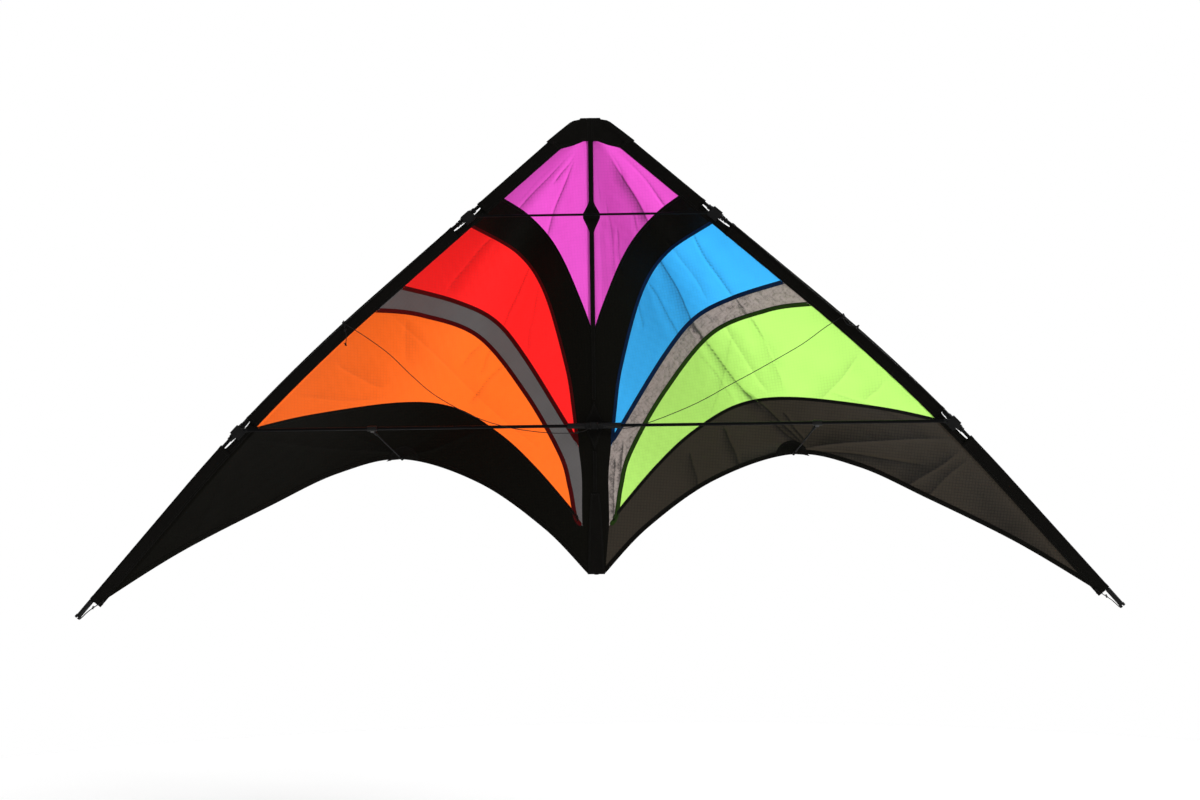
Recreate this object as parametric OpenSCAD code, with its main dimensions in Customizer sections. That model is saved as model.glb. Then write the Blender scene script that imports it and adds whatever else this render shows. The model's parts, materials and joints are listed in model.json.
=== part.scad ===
// Dual-line delta kite, upright, nose up. Origin at the nose, +X to the right as the
// pilot sees it, +Z up, and the front with the spreaders faces -Y. Millimetres.

/* [Leading edge] */
// Angle of each straight leading edge from the spine, in degrees
le_angle = 49.6; // [47:0.2:51]
// Length of straight rod from the nose pivot to the start of the bend
bend_start = 455; // [420:5:480]
// Length of the bent stretch
bend_length = 470; // [400:10:500]
// Radius of the bend
bend_r = 3206; // [3000:1:5000]
// Length from the nose pivot to the end of the sleeve
sleeve_end = 1171; // [1150:1:1180]
// Outside diameter of the leading-edge rods and the spine
rod_od = 6; // [5.5:0.1:6.2]
// Wall of the carbon rods
rod_wall = 1; // [0.8:0.1:1.2]

/* [Spine and spreaders] */
// Height of the lower end of the spine rod below the nose
spine_length = 780; // [770:1:790]
// Height of the lower spreader below the nose
lower_z = 530; // [525:1:535]
// Outside diameter of the lower spreader rods
lower_od = 5.5; // [5:0.1:5.8]
// Height of the upper spreader below the nose
upper_z = 167; // [165:1:169]
// Outside diameter of the upper spreader rod
upper_od = 4; // [3.5:0.1:4.2]
// Distance of the spreaders in front of the leading edges
spreader_y = 11; // [10.5:0.1:11.5]

/* [Stand-offs] */
// Distance of each stand-off clip from the spine
clip_x = 383; // [370:1:390]
// Length from the stand-off pivot to its far end
standoff_length = 162; // [160:0.5:163]
// Lean of each stand-off below straight back, in degrees
standoff_tilt = 20; // [19:0.5:21]
// Lean of each stand-off towards the spine, in degrees
standoff_toe = 12.5; // [12:0.5:13]

/* [Sail] */
// Depth of the sail behind the frame at the stand-offs
sail_depth = 150; // [148:1:156]
// Distance from the nose at which the sail is deepest
deep_at = 680; // [670:5:690]
// Thickness of the sail cloth as modelled
cloth = 0.4; // [0.3:0.1:0.5]
// Width of the leading-edge sleeve
sleeve_w = 24; // [20:0.5:25]

/* [Bridle] */
// Diameter of the bridle line
line_d = 1.3; // [1:0.1:1.5]

/* [Hidden] */

$fn = 48;
carbon = [0.07, 0.07, 0.075];
black = [0.08, 0.08, 0.075];
rubber = [0.11, 0.11, 0.11];

// ---- leading-edge path: measured along the rod from the nose pivot ----
pivot_x = 32;
pivot_z = -11;
rod_r = rod_od / 2;
bend_end = bend_start + bend_length;
bend_angle = bend_length / bend_r * 180 / PI;
bend_end_x = bend_start + bend_r * sin(bend_angle);
bend_end_drop = bend_r * (1 - cos(bend_angle));
rod_join = 600;
upper_fit = 240;
lower_fit = 784;
tow_at = 521;
notches = [[213, 273], [757, 821]];
sleeve_start = 38;
hem_lap = 3;
hem_thick = 0.8;
cloth_edge = sleeve_w - 5;
edge_gap = 0.5;
ferrule_reach = 40;
nock_length = 40;
tip_rod_gap = 6;

function turn_at(s) = min(max(s - bend_start, 0) / bend_r * 180 / PI, bend_angle);

function le_point(s) =
    s <= bend_start ? [s, 0]
    : s <= bend_end ? [bend_start + bend_r * sin(turn_at(s)), bend_r * (cos(turn_at(s)) - 1)]
    : [bend_end_x + (s - bend_end) * cos(bend_angle), -bend_end_drop - (s - bend_end) * sin(bend_angle)];

// Point of the leading edge in the sail's own [x, z], moved out by "out" across the rod
function wing_xz(s, out) = let (
    p = le_point(s),
    along = p[0] + out * sin(turn_at(s)),
    across = p[1] + out * cos(turn_at(s)),
    lean = 90 - le_angle
) [pivot_x + along * cos(lean) + across * sin(lean), pivot_z - along * sin(lean) + across * cos(lean)];

// Places children on the right wing, +X along the straight rod and +Z outwards
module on_wing() {
    translate([pivot_x, 0, pivot_z])
        rotate([0, 90 - le_angle, 0])
            children();
}

module at_rod(s) {
    on_wing()
        translate([le_point(s)[0], 0, le_point(s)[1]])
            rotate([0, turn_at(s), 0])
                children();
}

module straight_sweep(length) {
    rotate([0, 90, 0])
        rotate([0, 0, 180])
            linear_extrude(length)
                mirror([0, 1])
                    children();
}

module bent_sweep(angle) {
    translate([0, 0, -bend_r])
        rotate([-90, -90, 0])
            rotate_extrude(angle = angle, $fn = 720)
                translate([bend_r, 0])
                    children();
}

// Sweeps a section, drawn as [outwards, depth], along the rod from s0 to s1. Each stretch
// starts where the rod turns from straight to bent, so that the two meet exactly.
module along_rod(s0, s1) {
    if (s0 < bend_start)
        at_rod(bend_start) {
            mirror([1, 0, 0])
                translate([bend_start - min(s1, bend_start), 0, 0])
                    straight_sweep(min(s1, bend_start) - s0)
                        children();
            if (s1 > bend_start)
                bent_sweep(turn_at(s1))
                    children();
        }
    else if (s1 > bend_end)
        at_rod(bend_end) {
            translate([max(s0, bend_end) - bend_end, 0, 0])
                straight_sweep(s1 - max(s0, bend_end))
                    children();
            if (s0 < bend_end)
                mirror([1, 0, 0])
                    bent_sweep(bend_angle - turn_at(s0))
                        children();
        }
    else
        at_rod(s0)
            bent_sweep(turn_at(s1) - turn_at(s0))
                children();
}

module left_side() {
    mirror([1, 0, 0])
        children();
}

module ring(r_out, r_in) {
    difference() {
        circle(r_out);
        circle(r_in);
    }
}

// ---- sail surface: [x, z] lifted back by a smooth depth ----
apex_offset = 7.1;
seam_gap = 0.3;

function le_deflection(r) =
    r < bend_start ? 0
    : r < bend_end ? bend_r * (1 - cos((r - bend_start) / bend_r * 180 / PI))
    : bend_end_drop + (r - bend_end) * sin(bend_angle);

function sail_y(p) = let (
    r = max(norm(p), 1),
    edge = le_angle - asin(min(0.9, (apex_offset + le_deflection(r)) / r)),
    u = min(max(atan2(abs(p[0]), -p[1]) / edge, 0), 1)
) sail_depth * sin(min(90 * pow(r / deep_at, 1.15), 180)) * sin(180 * pow(u, 1.6));

function blend(a, b, t) = a + (b - a) * t;

function spline_at(p, i, t) = let (
    a = p[max(i - 1, 0)],
    b = p[i],
    c = p[i + 1],
    d = p[min(i + 2, len(p) - 1)]
) 0.5 * (2 * b + (c - a) * t + (2 * a - 5 * b + 4 * c - d) * t * t + (3 * b - a - 3 * c + d) * t * t * t);

steps = 4;
function spline(p) = [
    for (i = [0:len(p) - 2], k = [0:steps - 1]) spline_at(p, i, k / steps),
    p[len(p) - 1]
];
function off_seam(c) = [for (p = c) [max(p[0], seam_gap), p[1]]];
function first_spans(c, n) = [for (i = [0:n * steps]) c[i]];
// Stops a pointed panel just short of its tip
function blunt(c) = [for (i = [0:len(c) - 1]) i < len(c) - 1 ? c[i] : blend(c[i - 1], c[i], 0.85)];

rows = 5;
// How far the bent leading edge stands outside the straight line between two panel corners
function bow(span, t) = on_edge(blend(span[0], span[1], t)) - blend(on_edge(span[0]), on_edge(span[1]), t);

// A thin closed skin between two boundaries, "front" behind the sail surface's front.
// A panel that is sewn to the leading edge gives its span there.
module skin(a, b, span = [0, 0], front = 0, thick = cloth) {
    n = len(a);
    m = rows + 1;
    points = [
        for (side = [0, 1], i = [0:n - 1], j = [0:rows])
            let (p = blend(a[i], b[i], j / rows) + bow(span, j / rows) * pow(1 - i / (n - 1), 4))
            [p[0], sail_y(p) + front + side * thick, p[1]]
    ];
    function at(side, i, j) = side * n * m + i * m + j;
    polyhedron(points, [
        for (i = [0:n - 2], j = [0:rows - 1])
            each [[at(0, i, j), at(0, i + 1, j), at(0, i + 1, j + 1)],
                [at(0, i, j), at(0, i + 1, j + 1), at(0, i, j + 1)],
                [at(1, i, j), at(1, i + 1, j + 1), at(1, i + 1, j)],
                [at(1, i, j), at(1, i, j + 1), at(1, i + 1, j + 1)]],
        for (i = [0:n - 2])
            each [[at(0, i, 0), at(1, i, 0), at(1, i + 1, 0)],
                [at(0, i, 0), at(1, i + 1, 0), at(0, i + 1, 0)],
                [at(0, i, rows), at(1, i + 1, rows), at(1, i, rows)],
                [at(0, i, rows), at(0, i + 1, rows), at(1, i + 1, rows)]],
        for (j = [0:rows - 1])
            each [[at(0, 0, j), at(0, 0, j + 1), at(1, 0, j + 1)],
                [at(0, 0, j), at(1, 0, j + 1), at(1, 0, j)],
                [at(0, n - 1, j), at(1, n - 1, j + 1), at(0, n - 1, j + 1)],
                [at(0, n - 1, j), at(1, n - 1, j), at(1, n - 1, j + 1)]]
    ]);
}

// Seams of the right half, each from the leading edge to the spine or tail, as [x, z]
function on_edge(s) = wing_xz(s, -cloth_edge - edge_gap);
edge_at = [sleeve_start + 1, 177, 243, 406, 466, 769, 1155];
nose_seam = spline([on_edge(edge_at[0]), [38, -50], [24, -45], [11, -41], [seam_gap, -40]]);
arc_top = off_seam(spline([on_edge(edge_at[1]), [114, -165], [70, -216], [33, -293], [seam_gap, -393],
    [seam_gap, -490], [12, -lower_z], [seam_gap, -568], [seam_gap, -785]]));
arc_bottom = spline([on_edge(edge_at[2]), [131, -225], [83, -296], [46, -425], [34, -503], [28, -566],
    [23, -620], [23, -703], [15, -784]]);
band_top = spline([on_edge(edge_at[3]), [246, -309], [178, -343], [124, -407], [51, -524], [29.5, -566],
    [24.5, -620], [24.5, -701]]);
band_bottom = spline([on_edge(edge_at[4]), [303, -333], [206, -371], [121, -473], [61, -577], [44, -636],
    [35, -686], [24.5, -701]]);
trailing_top = spline([on_edge(edge_at[5]), [496, -509], [349, -490], [254, -500], [173, -545], [106, -605],
    [36, -689], [24.5, -704]]);
trailing_edge = spline([on_edge(edge_at[6]), [723, -740], [577, -665], [461, -610], [345, -587],
    [205, -630], [90, -707], [18, -784]]);

function edge_span(k) = [edge_at[k], edge_at[k + 1]];

module nose_panel() { color([0.88, 0.33, 0.76]) skin(nose_seam, first_spans(arc_top, 4), edge_span(0)); }
module arc_panel() { color(black) skin(arc_top, arc_bottom, edge_span(1)); }
module upper_panel(paint) {
    color(paint)
        skin(blunt(first_spans(arc_bottom, 5)), blunt(first_spans(band_top, 5)), edge_span(2));
}
module grey_band(paint) { color(paint) skin(blunt(band_top), blunt(band_bottom), edge_span(3)); }
module lower_panel(paint) {
    color(paint)
        skin(blunt(first_spans(band_bottom, 6)), blunt(first_spans(trailing_top, 6)), edge_span(4));
}
module trailing_panel() { color(black) skin(trailing_top, trailing_edge, edge_span(5)); }

// Patches lie just in front of the sail, and further where the sail is curved
patch_front = -0.8;
standoff_patch_front = -2.2;
patch_thick = 0.5;
module standoff_patch() {
    color(black)
        skin(spline([[315, -588], [325, -570], [345, -562], [365, -568], [376, -585]]),
            spline([[316, -590], [330, -587.5], [345, -586.5], [360, -586.5], [375, -587.5]]),
            front = standoff_patch_front, thick = patch_thick);
}

// ---- spine and centre ----
spine_y = 4.5;
spine_top_z = -10;
cross_hole = 34;
hub_h = 22;
hub_r = 6;
arm_pivot_x = 12;
arm_gap = 5.8;
cheek = 2;
pin_r = 1.5;
pin_play = 0.06;
fit_play = 0.03;
arm_r = 5.5;
arm_end = 34;
lower_tip_x = 613;
upper_tip_x = 210;
sleeve_r = 3.9;
sleeve_wall = 0.6;
spine_sleeve_top = 29;
spine_sleeve_end = 735;
tape_w = 8;
tape_top = 30;
tape_end = 645;
tape_stop = 44;
barrel_w = 10.4;
barrel_h = 12;
cheek_h = 10;
nock_slot = 1.8;

module tube_z(r_out, r_in, z_low, z_high) {
    translate([0, spine_y, z_low])
        linear_extrude(z_high - z_low)
            ring(r_out, r_in);
}

module spine_rod() {
    color(carbon)
        tube_z(rod_r, rod_r - rod_wall, -spine_length, spine_top_z);
}

module spine_top_cap() {
    color(rubber)
        difference() {
            translate([0, spine_y, spine_top_z - 12])
                cylinder(h = 15, r = rod_r + 0.8);
            translate([0, spine_y, spine_top_z - 13])
                cylinder(h = 13, r = rod_r);
        }
}

module spine_tail_nock() {
    color(rubber)
        difference() {
            translate([0, spine_y, -spine_length - 7])
                cylinder(h = 20, r = rod_r + 0.8);
            translate([0, spine_y, -spine_length])
                cylinder(h = 14, r = rod_r);
            translate([-5, spine_y - nock_slot / 2, -spine_length - 8])
                cube([10, nock_slot, 4.5]);
        }
}

module spine_sleeve() {
    color(black) {
        tube_z(sleeve_r, sleeve_r - sleeve_wall, -lower_z + cross_hole, -spine_sleeve_top);
        tube_z(sleeve_r, sleeve_r - sleeve_wall, -spine_sleeve_end, -lower_z - cross_hole);
    }
}

module spine_tape() {
    color(black) {
        translate([-tape_w / 2, patch_front, -lower_z + tape_stop])
            cube([tape_w, patch_thick, lower_z - tape_stop - tape_top]);
        translate([-tape_w / 2, patch_front, -tape_end])
            cube([tape_w, patch_thick, tape_end - lower_z - tape_stop]);
    }
}

// Pointed patch across the spine, with an optional round hole for the cross
module diamond(half_w, half_h, z, hole) {
    translate([0, patch_front - 0.1, z])
        rotate([-90, 0, 0])
            linear_extrude(patch_thick)
                difference() {
                    polygon([[0, half_h], [half_w, 0.15 * half_h], [half_w, -0.1 * half_h],
                        [0, -half_h], [-half_w, -0.1 * half_h], [-half_w, 0.15 * half_h]]);
                    if (hole > 0)
                        circle(hole);
                }
}

module upper_diamond() {
    color(black)
        translate([0, -0.8, 0])
            diamond(15, 37, -upper_z - 3, 0);
}

module lower_diamond() {
    color(black)
        translate([0, -0.8, 0])
            diamond(18, 43, -lower_z, 12.5);
}

module tail_patch() {
    color(black)
        translate([0, patch_front, 0])
            rotate([90, 0, 0])
                linear_extrude(patch_thick)
                    polygon([[-8, -646], [8, -646], [13, -720], [15, -786], [-15, -786], [-13, -720]]);
}

module nose_outline() {
    polygon([[-17, 0], [17, 0], [35, -8], [76, -40], [50, -52], [30, -47], [12, -40],
        [-12, -40], [-30, -47], [-50, -52], [-76, -40], [-35, -8]]);
}

web_front = 5.6;
web_back = 9.4;
web_thick = 0.8;
module nose_webbing() {
    color(black) {
        translate([0, -web_front + web_thick, 0])
            rotate([90, 0, 0])
                linear_extrude(web_thick)
                    nose_outline();
        translate([0, web_back, 0])
            rotate([90, 0, 0])
                linear_extrude(web_thick)
                    nose_outline();
        translate([-17, -web_front, -web_thick])
            cube([34, web_front + web_back, web_thick]);
    }
}

// Moulded cross: a barrel on the spine and two cheeks that hold the flexible arms
module centre_cross() {
    color(rubber)
        translate([0, 0, -lower_z]) {
            difference() {
                union() {
                    translate([0, spine_y, -hub_h / 2])
                        cylinder(h = hub_h, r = hub_r);
                    translate([-barrel_w / 2, -spreader_y - arm_gap, -barrel_h / 2])
                        cube([barrel_w, spreader_y + arm_gap, barrel_h]);
                    for (y = [-spreader_y - arm_gap - cheek, -spreader_y + arm_gap])
                        translate([-arm_pivot_x - 2, y, -cheek_h / 2])
                            cube([2 * arm_pivot_x + 4, cheek, cheek_h]);
                }
                translate([0, spine_y, -hub_h])
                    cylinder(h = 2 * hub_h, r = rod_r + 0.02);
            }
            for (x = [-arm_pivot_x, arm_pivot_x])
                translate([x, -spreader_y + arm_gap + 0.5, 0])
                    rotate([90, 0, 0])
                        cylinder(h = 2 * arm_gap + 1, r = pin_r);
        }
}

module at_spreader() {
    translate([0, -spreader_y, -lower_z])
        children();
}

module cross_arm() {
    color(rubber)
        at_spreader()
            difference() {
                union() {
                    translate([arm_pivot_x, 0, 0])
                        rotate([90, 0, 0])
                            cylinder(h = 2 * arm_r, r = 4.5, center = true);
                    translate([arm_pivot_x, 0, 0])
                        rotate([0, 90, 0])
                            cylinder(h = arm_end, r = arm_r - 0.7);
                }
                translate([arm_pivot_x, 0, 0])
                    rotate([90, 0, 0])
                        cylinder(h = 20, r = pin_r + pin_play, center = true);
                translate([arm_pivot_x + 7, 0, 0])
                    rotate([0, 90, 0])
                        cylinder(h = arm_end, r = lower_od / 2 + fit_play);
            }
}

module lower_spreader() {
    color(carbon)
        at_spreader()
            translate([arm_pivot_x + 8, 0, 0])
                rotate([0, 90, 0])
                    linear_extrude(lower_tip_x - 2 - arm_pivot_x - 8)
                        ring(lower_od / 2, lower_od / 2 - rod_wall);
}

module rod_cap(r, grip) {
    rotate([0, 90, 0])
        difference() {
            translate([0, 0, -grip])
                cylinder(h = grip + 2, r = r + 0.7);
            translate([0, 0, -grip - 1])
                cylinder(h = grip + 1, r = r);
        }
}

module lower_spreader_cap() {
    color(rubber)
        at_spreader()
            translate([lower_tip_x - 2, 0, 0])
                rod_cap(lower_od / 2, 12);
}

module upper_spreader() {
    color(carbon)
        translate([0, -spreader_y, -upper_z])
            rotate([0, 90, 0])
                cylinder(h = 2 * (upper_tip_x - 2), r = upper_od / 2, center = true);
}

module upper_spreader_caps() {
    color(rubber)
        for (side = [0, 1])
            mirror([side, 0, 0])
                translate([upper_tip_x - 2, -spreader_y, -upper_z])
                    rod_cap(upper_od / 2, 9);
}

// ---- wings ----
module leading_rod_upper() {
    color(carbon)
        along_rod(4, rod_join)
            ring(rod_r, rod_r - rod_wall);
}

module leading_rod_lower() {
    color(carbon)
        along_rod(rod_join, sleeve_end + tip_rod_gap)
            ring(rod_r, rod_r - rod_wall);
}

module leading_ferrule() {
    color(carbon)
        along_rod(rod_join - ferrule_reach, rod_join + ferrule_reach)
            circle(rod_r - rod_wall - fit_play);
}

// Cap on the upper end of a leading edge, with a round knuckle on the axis the wing folds about
module leading_cap() {
    color(rubber)
        on_wing()
            difference() {
                union() {
                    rotate([0, 90, 0])
                        cylinder(h = 16, r = rod_r + 0.8);
                    rotate([90, 0, 0])
                        cylinder(h = 2 * rod_r + 2, r = rod_r + 0.8, center = true);
                }
                translate([4, 0, 0])
                    rotate([0, 90, 0])
                        cylinder(h = 14, r = rod_r);
            }
}

module wingtip_nock() {
    color(rubber)
        at_rod(sleeve_end + 1.5)
            difference() {
                union() {
                    rotate([0, 90, 0])
                        cylinder(h = nock_length - 6, r = rod_r + 1.4);
                    translate([nock_length - 6, 0, 0])
                        rotate([0, 90, 0])
                            cylinder(h = 5, r = rod_r + 2.4);
                }
                translate([-1, 0, 0])
                    rotate([0, 90, 0])
                        cylinder(h = tip_rod_gap + 1, r = rod_r);
                translate([nock_length - 4, -6, -1])
                    cube([6, 12, 2]);
            }
}

edge_sleeve_r = 4.4;
// Fabric sleeve section: round over the rod, tapering to the sail seam
module sleeve_section(grow) {
    circle(r = edge_sleeve_r + grow);
    polygon([[0, edge_sleeve_r + grow], [-cloth_edge + sleeve_wall - grow, 1.2 + grow],
        [-cloth_edge + sleeve_wall - grow, -1.2 - grow], [0, -edge_sleeve_r - grow]]);
}

module leading_sleeve() {
    color(black) {
        for (span = [[sleeve_start, notches[0][0]], [notches[0][1], notches[1][0]],
                [notches[1][1], sleeve_end]])
            along_rod(span[0], span[1])
                difference() {
                    sleeve_section(0);
                    sleeve_section(-sleeve_wall);
                }
        for (notch = notches)
            along_rod(notch[0] - hem_lap, notch[1] + hem_lap)
                translate([-cloth_edge + 2, -hem_thick / 2])
                    square([8, hem_thick]);
    }
}

// Moulded connector: a barrel on the rod and an open fork that holds a spreader's end.
// The fork is closed by a wall on its outer side, or on its lower side.
module connector(s, length, end_r, wall_below) {
    half_gap = end_r + 0.3;
    plate = 1.8;
    fork_w = 18;
    fork_h = 18;
    fork_drop = 13;
    color(rubber)
        at_rod(s)
            difference() {
                union() {
                    translate([-length / 2, 0, 0])
                        rotate([0, 90, 0])
                            cylinder(h = length, r = rod_r + 2.4);
                    for (y = [-spreader_y - half_gap - plate, -spreader_y + half_gap])
                        translate([-fork_w / 2, y, -fork_drop])
                            cube([fork_w, plate, fork_h]);
                    translate([-fork_w / 2, -spreader_y + half_gap, -5])
                        cube([fork_w, spreader_y - half_gap - 1, 10]);
                    if (wall_below)
                        translate([fork_w / 2 - plate, -spreader_y - half_gap, -fork_drop])
                            cube([plate, 2 * half_gap, fork_h]);
                    else
                        translate([-fork_w / 2, -spreader_y - half_gap - plate, 4])
                            cube([fork_w, 2 * (half_gap + plate), plate + 0.6]);
                }
                translate([-length, 0, 0])
                    rotate([0, 90, 0])
                        cylinder(h = 2 * length, r = rod_r + 0.02);
            }
}

// ---- stand-offs ----
standoff_pivot = 8;
lug_gap = 2.3;
lug_pin_r = 1.1;
standoff_rod_r = 1.5;
boot_r = 2.8;
end_cap_r = 2.6;
end_cap_length = 12;
module at_clip() {
    translate([clip_x, -spreader_y, -lower_z])
        rotate([-standoff_tilt, 0, 0])
            children();
}

module standoff_clip() {
    color(rubber)
        at_clip()
            difference() {
                union() {
                    rotate([0, 90, 0])
                        cylinder(h = 16, r = lower_od / 2 + 1.8, center = true);
                    for (z = [lug_gap + 0.2, -lug_gap - 1.8])
                        translate([-3, 0, z])
                            cube([6, standoff_pivot + 3, 1.6]);
                    translate([0, standoff_pivot, 0])
                        cylinder(h = 2 * lug_gap + 1, r = lug_pin_r, center = true);
                }
                rotate([0, 90, 0])
                    cylinder(h = 20, r = lower_od / 2 + 0.02, center = true);
            }
}

module standoff() {
    color(carbon)
        at_clip()
            translate([0, standoff_pivot, 0])
                rotate([0, 0, standoff_toe])
                    difference() {
                        union() {
                            cylinder(h = 2 * lug_gap, r = 2.5, center = true);
                            translate([-2, 0, -lug_gap + 0.1])
                                cube([4, 11, 2 * lug_gap - 0.2]);
                            translate([0, 9, 0])
                                rotate([-90, 0, 0])
                                    cylinder(h = 14, r = boot_r);
                            translate([0, 12, 0])
                                rotate([-90, 0, 0])
                                    cylinder(h = standoff_length - 14, r = standoff_rod_r);
                            translate([0, standoff_length - end_cap_length, 0])
                                rotate([-90, 0, 0])
                                    cylinder(h = end_cap_length, r = end_cap_r);
                        }
                        cylinder(h = 10, r = lug_pin_r + pin_play, center = true);
                    }
}

// ---- bridle: tubes swept along routes chosen by hand ----
sides = 8;
function unit(v) = v / norm(v);
function heading(p, i) = unit(p[min(i + 1, len(p) - 1)] - p[max(i - 1, 0)]);
module cord(route, count) {
    path = [for (k = [0:count]) let (
        t = k / count * (len(route) - 1),
        i = min(floor(t), len(route) - 2)
    ) spline_at(route, i, t - i)];
    rings = [for (i = [0:count]) let (
        d = heading(path, i),
        u = unit(cross(d, [0, 1, 0])),
        v = cross(d, u)
    ) for (k = [0:sides - 1]) path[i] + line_d / 2 * (cos(360 * k / sides) * u + sin(360 * k / sides) * v)];
    polyhedron(rings, [
        [for (k = [0:sides - 1]) k],
        for (i = [0:count - 1], k = [0:sides - 1])
            each [[i * sides + k, (i + 1) * sides + k, (i + 1) * sides + (k + 1) % sides],
                [i * sides + k, (i + 1) * sides + (k + 1) % sides, i * sides + (k + 1) % sides]],
        [for (k = [sides - 1:-1:0]) count * sides + k]
    ]);
}

function world(s, out, y) = let (p = wing_xz(s, out)) [p[0], y, p[1]];
tow = world(tow_at, 1, -9);
outhaul_route = [world(262, 2, -6.5), world(300, 3, -7.5), world(360, 2, -8), world(440, 1, -8.5), tow,
    world(600, 1, -8.5), world(680, 2, -8), world(740, 3, -7.5), world(763, 3, -6.6)];
inhaul_start = tow + [-1.4, -0.9, -0.5];
inhaul_left_route = [inhaul_start, [392, -22, -371], [350, -28, -402], [310, -30, -441], [270, -30, -475],
    [208, -28, -510], [150, -26, -530], [90, -26, -540], [48, -26, -542], [22, -24, -540],
    [8, -21.5, -534]];
inhaul_right_route = [inhaul_start, [398, -20, -367], [360, -25, -394], [318, -28, -418],
    [276, -29, -441], [234, -29, -463], [192, -28, -486], [150, -27, -505], [90, -26, -527], [48, -25, -535],
    [8, -22, -527]];
pigtail_left_route = [tow + [0, -1.6, -1], tow + [-2, -4, -10], tow + [-4, -5, -22], tow + [-3, -5, -35]];
pigtail_right_route = [tow + [0, -1.6, -1], tow + [4, -4, -10], tow + [12, -5, -16], tow + [25, -5, -17]];

module outhaul() { color(black) cord(outhaul_route, 16); }
module inhaul_left() { color(black) left_side() cord(inhaul_left_route, 30); }
module inhaul_right() { color(black) cord(inhaul_right_route, 28); }
module pigtail_left() { color(black) left_side() cord(pigtail_left_route, 6); }
module pigtail_right() { color(black) cord(pigtail_right_route, 6); }

nose_webbing();
spine_rod();
spine_top_cap();
spine_tail_nock();
spine_sleeve();
spine_tape();
upper_diamond();
lower_diamond();
tail_patch();
centre_cross();
left_side() cross_arm();  // cross_arm_left
cross_arm();  // cross_arm_right
left_side() lower_spreader();  // lower_spreader_left
lower_spreader();  // lower_spreader_right
left_side() lower_spreader_cap();  // lower_spreader_cap_left
lower_spreader_cap();  // lower_spreader_cap_right
upper_spreader();
upper_spreader_caps();
left_side() leading_rod_upper();  // leading_rod_upper_left
leading_rod_upper();  // leading_rod_upper_right
left_side() leading_rod_lower();  // leading_rod_lower_left
leading_rod_lower();  // leading_rod_lower_right
left_side() leading_ferrule();  // leading_ferrule_left
leading_ferrule();  // leading_ferrule_right
left_side() leading_cap();  // leading_cap_left
leading_cap();  // leading_cap_right
left_side() wingtip_nock();  // wingtip_nock_left
wingtip_nock();  // wingtip_nock_right
left_side() leading_sleeve();  // leading_sleeve_left
leading_sleeve();  // leading_sleeve_right
left_side() connector(upper_fit, 24, 2.7, true);  // upper_connector_left
connector(upper_fit, 24, 2.7, false);  // upper_connector_right
left_side() connector(lower_fit, 30, 3.45, false);  // lower_connector_left
connector(lower_fit, 30, 3.45, false);  // lower_connector_right
left_side() standoff_clip();  // standoff_clip_left
standoff_clip();  // standoff_clip_right
left_side() standoff();  // standoff_left
standoff();  // standoff_right
left_side() nose_panel();  // nose_panel_left
nose_panel();  // nose_panel_right
left_side() arc_panel();  // arc_panel_left
arc_panel();  // arc_panel_right
left_side() upper_panel([0.98, 0.16, 0.16]);  // red_panel
upper_panel([0.2, 0.63, 0.9]);  // blue_panel
left_side() grey_band([0.34, 0.34, 0.34]);  // grey_band_left
grey_band([0.6, 0.56, 0.53]);  // grey_band_right
left_side() lower_panel([1, 0.43, 0.16]);  // orange_panel
lower_panel([0.7, 0.92, 0.47]);  // lime_panel
left_side() trailing_panel();  // trailing_panel_left
trailing_panel();  // trailing_panel_right
left_side() standoff_patch();  // standoff_patch_left
standoff_patch();  // standoff_patch_right
left_side() outhaul();  // outhaul_left
outhaul();  // outhaul_right
inhaul_left();
inhaul_right();
pigtail_left();
pigtail_right();
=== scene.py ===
# %% [markdown]
# # A dual-line delta kite
# The rods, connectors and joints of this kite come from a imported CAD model, which is the
# fixed frame of everything here. Blender adds what cloth, thread and line look like. Every
# length below is in millimetres and is turned into metres in one place, when a mesh is made.

# %% Load the frame
import json
import math
import bpy
import bmesh
import numpy as np
from mathutils import Matrix, Vector


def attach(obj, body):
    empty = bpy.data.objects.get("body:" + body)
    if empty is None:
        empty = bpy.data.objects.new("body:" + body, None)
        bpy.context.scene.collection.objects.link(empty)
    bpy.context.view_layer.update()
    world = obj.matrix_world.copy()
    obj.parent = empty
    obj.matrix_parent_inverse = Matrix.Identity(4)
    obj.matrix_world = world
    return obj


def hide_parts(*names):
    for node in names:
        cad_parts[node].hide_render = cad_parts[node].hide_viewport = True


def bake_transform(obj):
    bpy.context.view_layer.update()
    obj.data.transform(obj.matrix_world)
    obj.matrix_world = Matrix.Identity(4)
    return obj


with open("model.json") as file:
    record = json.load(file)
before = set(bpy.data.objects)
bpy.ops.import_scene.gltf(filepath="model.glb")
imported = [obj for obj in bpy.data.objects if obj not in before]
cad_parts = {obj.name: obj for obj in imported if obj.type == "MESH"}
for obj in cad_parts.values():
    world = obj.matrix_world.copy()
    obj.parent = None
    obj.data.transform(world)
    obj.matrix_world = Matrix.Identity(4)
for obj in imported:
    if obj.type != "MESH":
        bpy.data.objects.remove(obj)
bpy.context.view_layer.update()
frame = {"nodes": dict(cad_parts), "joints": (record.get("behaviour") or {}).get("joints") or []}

MM = 0.001
SIGN = {"left": -1, "right": 1}

# %% [markdown]
# ## Camera and light
# The kite hangs upright and is seen from the pilot's side with a long lens, very slightly
# from the right, and the camera is rolled by under a degree. The background is bright
# white, as an overcast sky would be behind thin cloth, so the world is white and the cloth
# lets part of that light through. One sun behind the sail and one in front make the folds
# and the mouldings show.

# %% Camera
LENS = 79.2
CAMERA_DISTANCE = 4.548
CAMERA_TARGET = Vector((0.0103, 0, -0.486))
CAMERA_YAW = math.radians(1.73)
CAMERA_PITCH = math.radians(0.1)
CAMERA_ROLL = math.radians(-0.79)


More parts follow.
